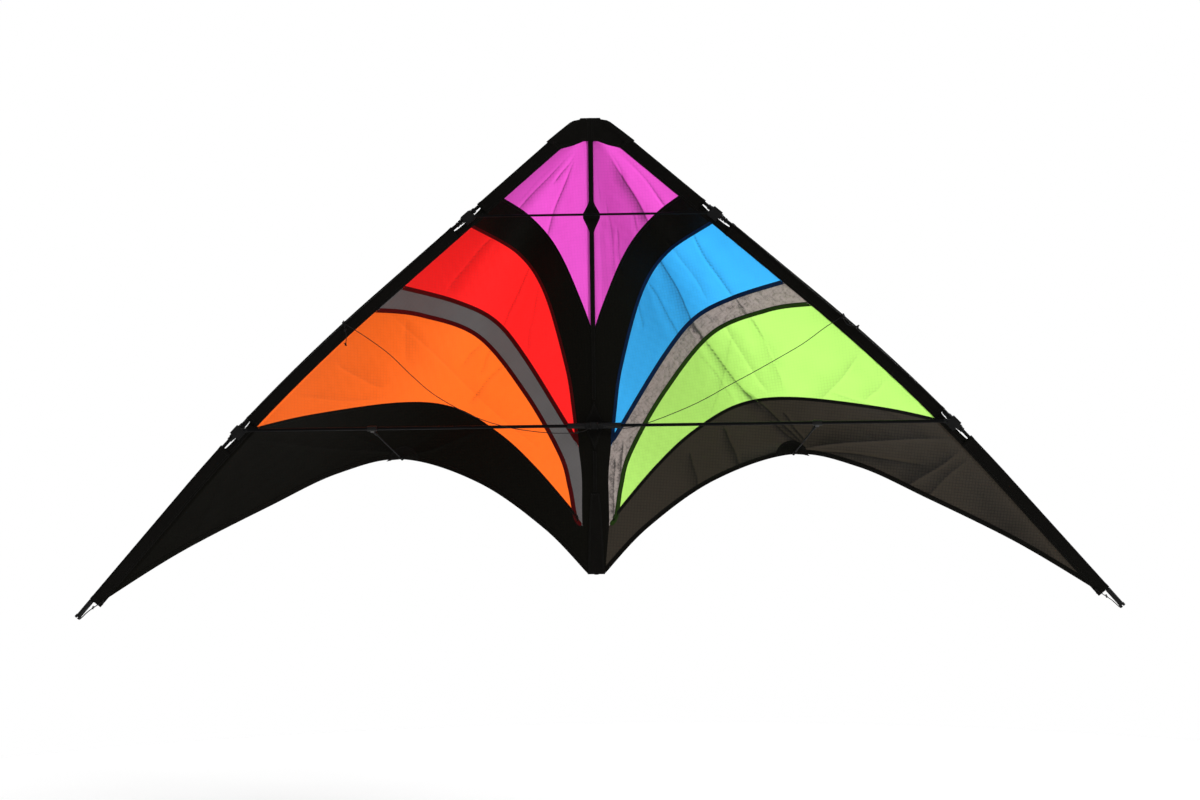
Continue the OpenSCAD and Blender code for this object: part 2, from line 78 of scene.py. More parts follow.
def make_camera():
    back = Vector((math.sin(CAMERA_YAW) * math.cos(CAMERA_PITCH),
                   -math.cos(CAMERA_YAW) * math.cos(CAMERA_PITCH), math.sin(CAMERA_PITCH)))
    level = Vector((math.cos(CAMERA_YAW), math.sin(CAMERA_YAW), 0))
    rise = back.cross(level)
    right = math.cos(CAMERA_ROLL) * level + math.sin(CAMERA_ROLL) * rise
    up = back.cross(right)
    data = bpy.data.cameras.new("camera")
    data.lens = LENS
    camera = bpy.data.objects.new("camera", data)
    bpy.context.collection.objects.link(camera)
    turn = Matrix((right, up, back)).transposed().to_4x4()
    camera.matrix_world = Matrix.Translation(CAMERA_TARGET + back * CAMERA_DISTANCE) @ turn
    bpy.context.scene.camera = camera


make_camera()

# %% Light
SKY_BEHIND = 1.0
SKY_IN_FRONT = 0.22
SKY_BLEND = 0.5


def make_world():
    """White to the eye; as a light it is bright behind the kite and dim in front of it."""
    world = bpy.data.worlds.new("sky")
    world.use_nodes = True
    tree = world.node_tree
    seen = tree.nodes["Background"]
    seen.inputs["Color"].default_value = (1, 1, 1, 1)
    lit = tree.nodes.new("ShaderNodeBackground")
    place = tree.nodes.new("ShaderNodeTexCoord")
    parts = tree.nodes.new("ShaderNodeSeparateXYZ")
    spread = tree.nodes.new("ShaderNodeMapRange")
    for name, value in (("From Min", -SKY_BLEND), ("From Max", SKY_BLEND),
                        ("To Min", SKY_IN_FRONT), ("To Max", SKY_BEHIND)):
        spread.inputs[name].default_value = value
    path = tree.nodes.new("ShaderNodeLightPath")
    mix = tree.nodes.new("ShaderNodeMixShader")
    for start, end in ((place.outputs["Generated"], parts.inputs[0]),
                       (parts.outputs["Y"], spread.inputs["Value"]),
                       (spread.outputs["Result"], lit.inputs["Strength"]),
                       (path.outputs["Is Camera Ray"], mix.inputs[0]),
                       (lit.outputs[0], mix.inputs[1]),
                       (seen.outputs[0], mix.inputs[2]),
                       (mix.outputs[0], tree.nodes["World Output"].inputs["Surface"])):
        tree.links.new(start, end)
    bpy.context.scene.world = world
    bpy.context.scene.view_settings.view_transform = "Standard"


def make_sun(name, toward, strength, spread):
    data = bpy.data.lights.new(name, "SUN")
    data.energy = strength
    data.angle = math.radians(spread)
    sun = bpy.data.objects.new(name, data)
    sun.rotation_euler = Vector(toward).to_track_quat("-Z", "Y").to_euler()
    bpy.context.collection.objects.link(sun)


make_world()
make_sun("sun_behind", (-0.52, -0.66, -0.5), 2.5, 5)
make_sun("sun_in_front", (-0.45, 0.62, -0.6), 0.8, 20)

# %% [markdown]
# ## Shader arithmetic
# A material's maths reads best as ordinary expressions. `Value` wraps one socket, and its
# operators add Math nodes. `Recipe.node` makes any other node: its settings first, then the
# values or links of its sockets. Colours go through Mix nodes, never through Math.

# %% Value and Recipe


class Value:
    """One output socket of a shader tree."""

    def __init__(self, recipe, socket):
        self.recipe = recipe
        self.socket = socket

    def math(self, operation, *others):
        sockets = {0: self}
        for i, other in enumerate(others):
            sockets[i + 1] = other
        return self.recipe.node("ShaderNodeMath", {"operation": operation}, sockets)

    def __add__(self, other):
        return self.math("ADD", other)

    __radd__ = __add__

    def __sub__(self, other):
        return self.math("SUBTRACT", other)

    def __rsub__(self, other):
        return self.recipe.node("ShaderNodeMath", {"operation": "SUBTRACT"}, {0: other, 1: self})

    def __mul__(self, other):
        return self.math("MULTIPLY", other)

    def __lt__(self, other):
        return self.math("LESS_THAN", other)


class Recipe:
    """A material under construction."""

    def __init__(self, name):
        self.material = bpy.data.materials.new(name)
        self.material.use_nodes = True
        self.tree = self.material.node_tree
        self.tree.nodes.clear()

    def node(self, kind, settings=None, sockets=None, out=0):
        node = self.tree.nodes.new(kind)
        for name, value in (settings or {}).items():
            setattr(node, name, value)
        for key, value in (sockets or {}).items():
            if isinstance(value, Value):
                self.tree.links.new(value.socket, node.inputs[key])
            else:
                node.inputs[key].default_value = value
        return Value(self, node.outputs[out])

    def place(self):
        return self.node("ShaderNodeTexCoord", out="Object")

    def noise(self, place, scale, detail):
        return self.node("ShaderNodeTexNoise", sockets={
            "Vector": place, "Scale": scale, "Detail": detail})

    def mix(self, factor, a, b):
        return self.node("ShaderNodeMix", {"data_type": "RGBA"}, {0: factor, 6: a, 7: b}, out=2)

    def bump(self, height, strength, distance):
        return self.node("ShaderNodeBump", sockets={
            "Height": height, "Strength": strength, "Distance": distance})

    def finish(self, shader):
        end = self.tree.nodes.new("ShaderNodeOutputMaterial")
        self.tree.links.new(shader.socket, end.inputs["Surface"])
        return self.material


def srgb(r, g, b):
    """A linear colour from 0-255 screen values."""
    def linear(c):
        c = c / 255
        return c / 12.92 if c <= 0.04045 else ((c + 0.055) / 1.055) ** 2.4
    return (linear(r), linear(g), linear(b), 1.0)


def scaled(colour, k):
    """A lighter or darker shade of a colour."""
    return tuple(min(1.0, c * k) for c in colour[:3]) + (1.0,)


# %% [markdown]
# ## Ripstop cloth
# Ripstop is thin coated nylon with a heavier thread every few millimetres each way, which
# shows as a fine darker grid. It could be an image, but a grid is two fractions of a
# position, so arithmetic gives it at any size. Light from behind passes through, so a
# Translucent shader is mixed in. Along each fold that is in the mesh a painted shade darkens
# the colour and lets less light through; a point attribute on the panels holds its amount.

# %% Cloth recipes
GRID_PITCH = 0.0052
GRID_LINE = 0.16
IN_SHADE = 0.28
FOLD_SHADE = 1.15
GLOW_LOSS = 0.55


def ripstop(name, colour, glow, turn, grid=0.20, crinkle=0.0, shine=0.3):
    """Glow is the share of light let through, and turn is the weave's angle in degrees."""
    r = Recipe(name)
    place = r.place()
    turned = r.node("ShaderNodeMapping", sockets={
        "Vector": place, "Rotation": (0, math.radians(turn), 0)})
    across = r.node("ShaderNodeSeparateXYZ", sockets={0: turned}, out="X")
    along = r.node("ShaderNodeSeparateXYZ", sockets={0: turned}, out="Z")
    line_across = (across * (1 / GRID_PITCH)).math("FRACT") < GRID_LINE
    line_along = (along * (1 / GRID_PITCH)).math("FRACT") < GRID_LINE
    lines = line_across.math("MAXIMUM", line_along)
    mottle = r.noise(place, 26, 4)
    fine = r.noise(place, 900, 2)
    painted_crease_shade = r.node("ShaderNodeAttribute", {"attribute_name": "painted_crease_shade"}, out="Fac")
    # shade: the grid's lines and a random mottle, which the cloth has, plus the painted shade along the
    # folds
    shade = lines * grid + (mottle - 0.5) * 0.3 + painted_crease_shade * FOLD_SHADE
    if crinkle:
        cells = r.node("ShaderNodeTexVoronoi", {"feature": "DISTANCE_TO_EDGE"}, {
            "Vector": place, "Scale": 150.0})
        wild = r.noise(place, 120, 6)
        # Crinkled cloth gets random darker patches, and painted shade along the edges of its crinkles
        shade = shade + (wild - 0.5) * crinkle * 2.2 + (cells < 0.09) * crinkle * 0.35
        height = lines * 0.25 + wild * 2.0 + fine * 0.2
    else:
        height = lines * 0.35 + fine * 0.25 + mottle * 0.8
    depth = shade.math("MAXIMUM", 0.0).math("MINIMUM", 1.0)
    painted = r.mix(depth, colour, scaled(colour, IN_SHADE))
    normal = r.bump(height, 0.35 + crinkle * 0.4, 0.0006 + crinkle * 0.001)
    body = r.node("ShaderNodeBsdfPrincipled", sockets={
        "Base Color": painted, "Roughness": 0.4 + mottle * 0.25, "Normal": normal,
        "Specular IOR Level": shine})
    through = r.node("ShaderNodeBsdfTranslucent", sockets={"Color": colour, "Normal": normal})
    # Painted fold shade also takes light out of the translucency, and a fold's painted lit side lets a
    # little more through
    mixed = r.node("ShaderNodeMixShader", sockets={
        0: glow - shade * GLOW_LOSS, 1: body, 2: through})
    return r.finish(mixed)


def plain_cloth(name, colour, pitch, depth, roughness=0.75):
    """Closely woven black cloth: sleeves, webbing, tapes and patches."""
    r = Recipe(name)
    place = r.place()
    spots = r.noise(place, 60, 4)
    xs = r.node("ShaderNodeSeparateXYZ", sockets={0: place}, out="X")
    zs = r.node("ShaderNodeSeparateXYZ", sockets={0: place}, out="Z")
    warp = ((xs + zs) * (2 * math.pi / pitch)).math("SINE")
    weft = ((xs - zs) * (2 * math.pi / pitch)).math("SINE")
    weave = warp.math("MAXIMUM", weft)
    painted = r.mix(weave * 0.22 + spots * 0.6, scaled(colour, 0.7), scaled(colour, 2.2))
    body = r.node("ShaderNodeBsdfPrincipled", sockets={
        "Base Color": painted, "Roughness": roughness - 0.1 + spots * 0.2,
        "Normal": r.bump(weave * 0.5 + spots * 0.5, 0.5, depth), "Specular IOR Level": 0.05})
    return r.finish(body)


CLOTHS = {
    "magenta_cloth": ripstop("magenta_ripstop", srgb(228, 84, 200), 0.72, turn=4),
    "red_cloth": ripstop("red_ripstop", srgb(252, 34, 34), 0.7, turn=-8),
    "blue_cloth": ripstop("blue_ripstop", srgb(58, 176, 245), 0.72, turn=10),
    "orange_cloth": ripstop("orange_ripstop", srgb(255, 108, 34), 0.75, turn=-6),
    "lime_cloth": ripstop("lime_ripstop", srgb(182, 238, 112), 0.75, turn=8),
    "dark_grey_cloth": ripstop("dark_grey_ripstop", srgb(98, 95, 95), 0.4, turn=-40, grid=0.25),
    "silver_grey_cloth": ripstop("silver_grey_ripstop", srgb(168, 156, 150), 0.45, turn=40,
                                 crinkle=0.8),
    "black_cloth": ripstop("black_ripstop", srgb(17, 16, 12), 0.1, turn=3, grid=0.35, shine=0.05),
    # The right trailing panel's black is lighter and browner and lets more light through than the left
    # one's
    "brown_black_cloth": ripstop("lighter_black_ripstop", srgb(56, 50, 42), 0.3, turn=-5, grid=0.4,
                                 shine=0.15),
}
sleeve_cloth = plain_cloth("sleeve_polyester", srgb(15, 14, 12), 0.0011, 0.0002)
patch_cloth = plain_cloth("patch_polyester", srgb(15, 14, 12), 0.0014, 0.0003)
webbing_cloth = plain_cloth("nose_webbing_weave", srgb(19, 18, 16), 0.0026, 0.0007, 0.85)
print("ripstop cloths:", len(CLOTHS))

# %% [markdown]
# ## Rods, mouldings, thread and line
# Pulled carbon tube has a satin, slightly streaky skin under a thin coat. The connectors
# are moulded rubber, matt with a fine grain. Bridle line is a tight braid: its tube carries
# a UV map, along and around, so two slanting sets of stripes cross as the strands do.

# %% Hard and stringy recipes
STREAKS = (60, 600, 60)


def rod_finish(name, colour, roughness):
    r = Recipe(name)
    place = r.place()
    stretched = r.node("ShaderNodeMapping", sockets={"Vector": place, "Scale": STREAKS})
    streak = r.noise(stretched, 1.0, 5)
    speck = r.noise(place, 1400, 2)
    painted = r.mix(streak * 0.6 + speck * 0.4, scaled(colour, 0.5), scaled(colour, 1.6))
    body = r.node("ShaderNodeBsdfPrincipled", sockets={
        "Base Color": painted, "Roughness": roughness + streak * 0.15,
        "Normal": r.bump(streak + speck * 0.5, 0.25, 0.0001), "Specular IOR Level": 0.06,
        "Coat Weight": 0.02, "Coat Roughness": 0.3})
    return r.finish(body)


def moulded_finish(name, colour, roughness):
    r = Recipe(name)
    place = r.place()
    grain = r.noise(place, 700, 4)
    cloud = r.noise(place, 90, 3)
    painted = r.mix(grain * 0.5 + cloud * 0.5, scaled(colour, 0.6), scaled(colour, 2.0))
    body = r.node("ShaderNodeBsdfPrincipled", sockets={
        "Base Color": painted, "Roughness": roughness + cloud * 0.2,
        "Normal": r.bump(grain, 0.35, 0.00025), "Specular IOR Level": 0.15})
    return r.finish(body)


def braid_finish(name, colour, strands=9.0):
    r = Recipe(name)
    uv = r.node("ShaderNodeTexCoord", out="UV")
    along = r.node("ShaderNodeSeparateXYZ", sockets={0: uv}, out="X")
    around = r.node("ShaderNodeSeparateXYZ", sockets={0: uv}, out="Y")
    turns = strands * 2 * math.pi
    one_way = ((along + around) * turns).math("SINE")
    other_way = ((along - around) * turns).math("SINE")
    weave = one_way.math("MAXIMUM", other_way)
    painted = r.mix(weave * 0.5 + 0.5, scaled(colour, 0.5), scaled(colour, 2.6))
    body = r.node("ShaderNodeBsdfPrincipled", sockets={
        "Base Color": painted, "Roughness": 0.5 + weave * 0.1,
        "Normal": r.bump(weave, 0.6, 0.0002), "Specular IOR Level": 0.2})
    return r.finish(body)


carbon = rod_finish("carbon_tube", srgb(11, 11, 12), 0.4)
glass_fibre = rod_finish("glass_fibre_rod", srgb(8, 8, 8), 0.55)
rubber = moulded_finish("moulded_rubber", srgb(22, 22, 22), 0.42)
vinyl = moulded_finish("vinyl_cap", srgb(16, 16, 17), 0.35)
line_braid = braid_finish("bridle_braid", srgb(17, 16, 15))
black_thread = braid_finish("black_thread", srgb(22, 22, 20), 3.0)
maroon_tape = plain_cloth("maroon_seam", srgb(78, 10, 12), 0.0012, 0.0002)
navy_tape = plain_cloth("navy_seam", srgb(14, 34, 66), 0.0012, 0.0002)
green_tape = plain_cloth("green_seam", srgb(36, 58, 18), 0.0012, 0.0002)

# %% Finishes for the CAD nodes that stay
CAD_FINISHES = {
    "spine_rod": carbon, "upper_spreader": carbon, "leading_rod": carbon,
    "leading_ferrule": carbon, "lower_spreader": carbon, "standoff": glass_fibre,
    "standoff_clip": rubber, "centre_cross": rubber, "cross_arm": rubber,
    "upper_connector": rubber, "lower_connector": rubber, "wingtip_nock": rubber,
    "spine_top_cap": vinyl, "spine_tail_nock": vinyl, "leading_cap": vinyl,
    "lower_spreader_cap": vinyl, "upper_spreader_caps": vinyl,
}


def finish_cad_nodes():
    done = 0
    for name, node in frame["nodes"].items():
        fitting = [key for key in CAD_FINISHES if name.startswith(key)]
        if fitting:
            node.data.materials.clear()
            node.data.materials.append(CAD_FINISHES[max(fitting, key=len)])
            done += 1
    print("CAD nodes with a finish of their own:", done)


finish_cad_nodes()


def settle(piece, body):
    """Gives a piece the body that it rides on."""
    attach(piece, body)


# %% [markdown]
# ## The shape of a wing
# Everything soft follows two rules that the CAD model also follows. The leading edge is a
# straight line from the nose pivot, then an arc, then straight again. The sail is lifted
# back from the flat plane by a smooth depth: nothing at the spine and the leading edge, and
# most at the stand-off. Pieces are drawn for the right wing as [x, z], and mirrored.

# %% Leading edge and sail depth
LE_ANGLE = math.radians(49.6)
LEAN = math.pi / 2 - LE_ANGLE
BEND_START, BEND_LENGTH, BEND_R = 455.0, 470.0, 3206.0
BEND_END = BEND_START + BEND_LENGTH
BEND_ANGLE = BEND_LENGTH / BEND_R
SAIL_DEPTH, DEEP_AT = 150.0, 680.0
SLEEVE_START, SLEEVE_END, SLEEVE_W = 38.0, 1171.0, 24.0
NOTCHES = ((213.0, 273.0), (757.0, 821.0))
CLOTH_EDGE = SLEEVE_W - 5.0
APEX_OFFSET = 7.1
UPPER_Z, LOWER_Z = -167.0, -530.0
PIVOT = np.array(next(j["pos_m"] for j in frame["joints"] if j["name"] == "wing_fold_right")) / MM


def turn_at(s):
    return min(max(s - BEND_START, 0) / BEND_R, BEND_ANGLE)


def edge_local(s, out):
    """Place along and across the straight part of the rod, "out" from its axis."""
    turn = turn_at(s)
    if s <= BEND_START:
        along, across = s, 0.0
    else:
        reach = min(s, BEND_END) - BEND_START
        along = BEND_START + BEND_R * math.sin(reach / BEND_R)
        across = BEND_R * (math.cos(reach / BEND_R) - 1)
        past = max(s - BEND_END, 0)
        along += past * math.cos(BEND_ANGLE)
        across -= past * math.sin(BEND_ANGLE)
    return along + out * math.sin(turn), across + out * math.cos(turn)


def wing_point(s, out, y):
    """[x, y, z] beside the rod of the right wing."""
    along, across = edge_local(s, out)
    return np.array([PIVOT[0] + along * math.cos(LEAN) + across * math.sin(LEAN), y,
                     PIVOT[2] - along * math.sin(LEAN) + across * math.cos(LEAN)])


def edge_deflection(r):
    bent = np.clip(r - BEND_START, 0, BEND_LENGTH)
    past = np.maximum(r - BEND_END, 0)
    return BEND_R * (1 - np.cos(bent / BEND_R)) + past * math.sin(BEND_ANGLE)


def polar(x, z):
    """Distance from the nose, angle from the spine and the angle of the leading edge there."""
    r = np.maximum(np.hypot(x, z), 1.0)
    edge = LE_ANGLE - np.arcsin(np.minimum(0.9, (APEX_OFFSET + edge_deflection(r)) / r))
    return r, np.arctan2(np.abs(x), -z), edge


def sail_y(x, z):
    r, angle, edge = polar(x, z)
    u = np.clip(angle / edge, 0, 1)
    lengthwise = np.sin(np.minimum(math.pi / 2 * (r / DEEP_AT) ** 1.15, math.pi))
    return SAIL_DEPTH * lengthwise * np.sin(math.pi * u ** 1.6)


# %% [markdown]
# ## Bridle lines
# A sport kite flies on two lines, and on each side they hook to one point of the bridle: the
# tow point. The outhaul is tied along the leading edge between the two connectors, the
# inhaul hangs in a slack bow from the tow point in to the centre cross, and a short pigtail
# for the flying line hangs from the tow point with a knot in it. Each one is a tube swept
# along a listed route, which is the route of its CAD solid. It has its own UV map,
# along and around, for the braid.

# %% Tubes along a path
LINE_D = 1.3
SIDES = 10
SPAN_STEPS = 40
ANY_WAY = (0.31, 0.9, 0.3)


def catmull(p, i, t):
    a, b, c, d = p[max(i - 1, 0)], p[i], p[i + 1], p[min(i + 2, len(p) - 1)]
    return 0.5 * (2 * b + (c - a) * t + (2 * a - 5 * b + 4 * c - d) * t ** 2
                  + (3 * b - a - 3 * c + d) * t ** 3)


def spline(knots, steps=SPAN_STEPS):
    p = [np.array(k, float) for k in knots]
    made = [catmull(p, i, k / steps) for i in range(len(p) - 1) for k in range(steps)]
    return np.array(made + [p[-1]])


def tube(path, radius, closed):
    """Points, faces and UVs of a tube along a path in millimetres."""
    n = len(path)
    ahead = np.roll(path, -1, axis=0) - np.roll(path, 1, axis=0)
    if not closed:
        ahead[0], ahead[-1] = path[1] - path[0], path[-1] - path[-2]
    ahead = ahead / np.linalg.norm(ahead, axis=1)[:, None]
    up = np.cross(ahead[0], ANY_WAY)
    ups = []
    for d in ahead:
        up = up - d * np.dot(up, d)
        up = up / np.linalg.norm(up)
        ups.append(up)
    if closed:
        drift = np.cross(ups[-1], ups[0]) @ ahead[0]
        twist = math.asin(max(-1, min(1, drift)))
    else:
        twist = 0.0
    points, faces, uvs = [], [], []
    step = np.linalg.norm(np.diff(path, axis=0), axis=1)
    along = np.concatenate([[0], np.cumsum(step)]) / (2 * math.pi * radius)
    for i in range(n):
        side = np.cross(ahead[i], ups[i])
        for k in range(SIDES):
            a = 2 * math.pi * k / SIDES + twist * i / n
            points.append(path[i] + radius * (math.cos(a) * ups[i] + math.sin(a) * side))
    last = n if closed else n - 1
    for i in range(last):
        for k in range(SIDES):
            j, m = (i + 1) % n, (k + 1) % SIDES
            faces.append((i * SIDES + k, i * SIDES + m, j * SIDES + m, j * SIDES + k))
            end = along[i + 1] if i + 1 < n else along[-1] + along[1]
            uvs += [(along[i], k / SIDES), (along[i], (k + 1) / SIDES),
                    (end, (k + 1) / SIDES), (end, k / SIDES)]
    if not closed:
        faces += [tuple(range(SIDES))[::-1], tuple((n - 1) * SIDES + k for k in range(SIDES))]
        uvs += [(0, 0)] * 2 * SIDES
    return points, faces, uvs


def new_piece(name, points, faces, material, smooth=True, uvs=None):
    """A mesh object from points in metres."""
    mesh = bpy.data.meshes.new(name)
    mesh.from_pydata([tuple(p) for p in points], [], [tuple(f) for f in faces])
    mesh.materials.append(material)
    mesh.polygons.foreach_set("use_smooth", [smooth] * len(mesh.polygons))
    if uvs:
        layer = mesh.uv_layers.new(name="along_and_around")
        layer.data.foreach_set("uv", [c for uv in uvs for c in uv])
    mesh.update()
    obj = bpy.data.objects.new(name, mesh)
    bpy.context.collection.objects.link(obj)
    return obj


def cord_piece(name, paths, closed=False):
    """Several lengths of bridle line as one piece."""
    points, faces, uvs = [], [], []
    for path in paths:
        p, f, uv = tube(np.array(path, float), LINE_D / 2, closed)
        faces += [tuple(v + len(points) for v in face) for face in f]
        points += [q * MM for q in p]
        uvs += uv
    return new_piece(name, points, faces, line_braid, uvs=uvs)


def mirrored(points, side):
    return [np.array(p, float) * (SIGN[side], 1, 1) for p in points]


# %% Routes of the lines
TOW_AT = 521
TOW = wing_point(TOW_AT, 1, -9)
INHAUL_START = TOW + (-1.4, -0.9, -0.5)
OUTHAUL = [wing_point(262, 2, -6.5), wing_point(300, 3, -7.5), wing_point(360, 2, -8),
           wing_point(440, 1, -8.5), TOW, wing_point(600, 1, -8.5), wing_point(680, 2, -8),
           wing_point(740, 3, -7.5), wing_point(763, 3, -6.6)]
INHAUL = {
    "left": [INHAUL_START, (392, -22, -371), (350, -28, -402), (310, -30, -441), (270, -30, -475),
             (208, -28, -510), (150, -26, -530), (90, -26, -540), (48, -26, -542), (22, -24, -540),
             (8, -21.5, -534)],
    "right": [INHAUL_START, (398, -20, -367), (360, -25, -394), (318, -28, -418), (276, -29, -441),
              (234, -29, -463), (192, -28, -486), (150, -27, -505), (90, -26, -527),
              (48, -25, -535), (8, -22, -527)],
}
PIGTAIL = {
    "left": [TOW + (0, -1.6, -1), TOW + (-2, -4, -10), TOW + (-4, -5, -22), TOW + (-3, -5, -35)],
    "right": [TOW + (0, -1.6, -1), TOW + (4, -4, -10), TOW + (12, -5, -16), TOW + (25, -5, -17)],
}


def make_line(kind, side, knots):
    path = spline(mirrored(knots, side), 10)
    line = cord_piece(kind + "_" + side + "_line", [path])
    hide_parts(kind + "_" + side)
    return line, path


def hang_between(line):
    """Bakes the line's placement into its mesh."""
    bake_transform(line)


inhaul_paths = {}
for side in SIGN:
    inhaul, path = make_line("inhaul", side, INHAUL[side])
    inhaul_paths[side] = path
    hang_between(inhaul)
    for kind, knots, far_end, lay in (("outhaul", OUTHAUL, "object", "taut"),
                                      ("pigtail", PIGTAIL[side], "knot", "hanging")):
        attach(make_line(kind, side, knots)[0], "wing_" + side)

# %% [markdown]
# ## Knots and ties
# A knot is small, but the eye finds it at the end of a line. An overhand knot drawn tight is
# close to a trefoil, which has a short formula. Where a line is made fast to a rod it is wound
# round it a few times, which is a helix with a short lead.

# %% Knots, ties and stop rings
KNOT_SIZE = 0.92
WRAP_R, WRAP_PITCH, LEAD_FROM = 3.75, 1.35, 0.86
RING_INNER, RING_OUTER, RING_LENGTH = 3.02, 4.5, 5.5


def trefoil(centre, lean):
    """A closed path of an overhand knot in millimetres, its axis leaning by an angle."""
    t = np.linspace(0, 2 * math.pi, 48, endpoint=False)
    x, y, z = np.sin(t) + 2 * np.sin(2 * t), np.cos(t) - 2 * np.cos(2 * t), -1.3 * np.sin(3 * t)
    c, s = math.cos(lean), math.sin(lean)
    return np.array(centre) + KNOT_SIZE * np.column_stack([c * x - s * z, y, s * x + c * z])


def rod_wrap(at, turns, lead):
    """Turns of line round the leading-edge rod, ending at a point out from the rod."""
    count = 20 * turns
    end = math.atan2(lead[1], lead[0]) + 2 * math.pi * turns
    made = []
    for i in range(count + 1):
        t = i / count
        angle = end * t
        rise = max(0.0, (t - LEAD_FROM) / (1 - LEAD_FROM))
        r = WRAP_R + (math.hypot(*lead) - WRAP_R) * rise ** 2
        place = at + (t - 0.5) * turns * WRAP_PITCH
        made.append(wing_point(place, r * math.cos(angle), r * math.sin(angle)))
    return made


def stop_rings(name, places, side):
    """Short soft tubes on the leading-edge rod, their ends rounded, as one piece."""
    half = [(0, RING_INNER), (0, RING_OUTER - 0.4), (0.15, RING_OUTER - 0.12), (0.5, RING_OUTER)]
    profile = half + [(RING_LENGTH - s, r) for s, r in half[::-1]]
    angles = np.linspace(0, 2 * math.pi, 32, endpoint=False)
    n, m = len(angles), len(profile)
    points, faces = [], []
    for at in places:
        base = len(points)
        points += [wing_point(at + s - RING_LENGTH / 2, r * math.cos(a), r * math.sin(a)) * MM
                   for a in angles for s, r in profile]
        for i in range(n):
            for k in range(m):
                j, q = (i + 1) % n, (k + 1) % m
                faces.append(tuple(base + v for v in (i * m + k, i * m + q, j * m + q, j * m + k)))
    return face_outwards(new_piece(name, mirrored(points, side), faces, vinyl))


def face_outwards(obj):
    work = bmesh.new()
    work.from_mesh(obj.data)
    bmesh.ops.remove_doubles(work, verts=work.verts, dist=1e-7)
    bmesh.ops.recalc_face_normals(work, faces=work.faces)
    work.to_mesh(obj.data)
    work.free()
    return obj


RING_PLACES = (240 - 15.2, 240 + 15.2, 784 - 18.2, 784 + 18.2)
INNER_KNOT = 14
for side in SIGN:
    tail = PIGTAIL[side][-1]
    knots = [trefoil(TOW + (0, -1.2, -0.5), 0.5), trefoil(TOW + (1.5, -0.5, 2.4), 2.1),
             trefoil(tail + (0.5, 0, -0.6), 1.2)]
    if side == "left":
        knots.append(trefoil(PIGTAIL[side][1] + (0.2, 0, -1), 2.6))
    wraps = [rod_wrap(261.5, 3, (2, -6.5)), rod_wrap(760.5, 3, (3, -6.6)),
             rod_wrap(TOW_AT, 2, (1, -8.2))]
    knot_piece = cord_piece("bridle_knots_" + side, [mirrored(k, side) for k in knots], closed=True)
    tie_piece = cord_piece("bridle_ties_" + side, [mirrored(w, side) for w in wraps])
    rings = stop_rings("stop_rings_" + side, RING_PLACES, side)
    for piece, slot in ((knot_piece, "bridle_line"), (tie_piece, "bridle_line"),
                        (rings, "moulded_rubber")):
        settle(piece, "wing_" + side)

inner_knot = cord_piece("inhaul_knot", [trefoil(inhaul_paths["left"][-INNER_KNOT], 0.9)], closed=True)
hang_between(inner_knot)


CHEEK_CORNERS = [(-19.6, -5.8), (-19.6, 5.8), (-16.1, 5.8), (-16.1, -5.8)]


def cross_loop(x):
    """A turn of line round the front cheek of the centre cross."""
    made = []
    for k, (y, z) in enumerate(CHEEK_CORNERS):
        y2, z2 = CHEEK_CORNERS[(k + 1) % 4]
        for t in np.linspace(0.12, 0.88, 8):
            made.append((x + 0.3 * math.sin(t * 3), y + (y2 - y) * t, LOWER_Z + z + (z2 - z) * t))
    return made


cross_ties = cord_piece("cross_ties", [cross_loop(-6.3), cross_loop(6.3)], closed=True)
cross_knots = cord_piece("cross_knots", [trefoil((-7.4, -21.2, LOWER_Z - 3.6), 0.4),
                                         trefoil((7.4, -21.4, LOWER_Z + 2.6), 2.2)], closed=True)
for piece in (cross_ties, cross_knots):
    settle(piece, "root")
print("knots, ties and stop rings made")
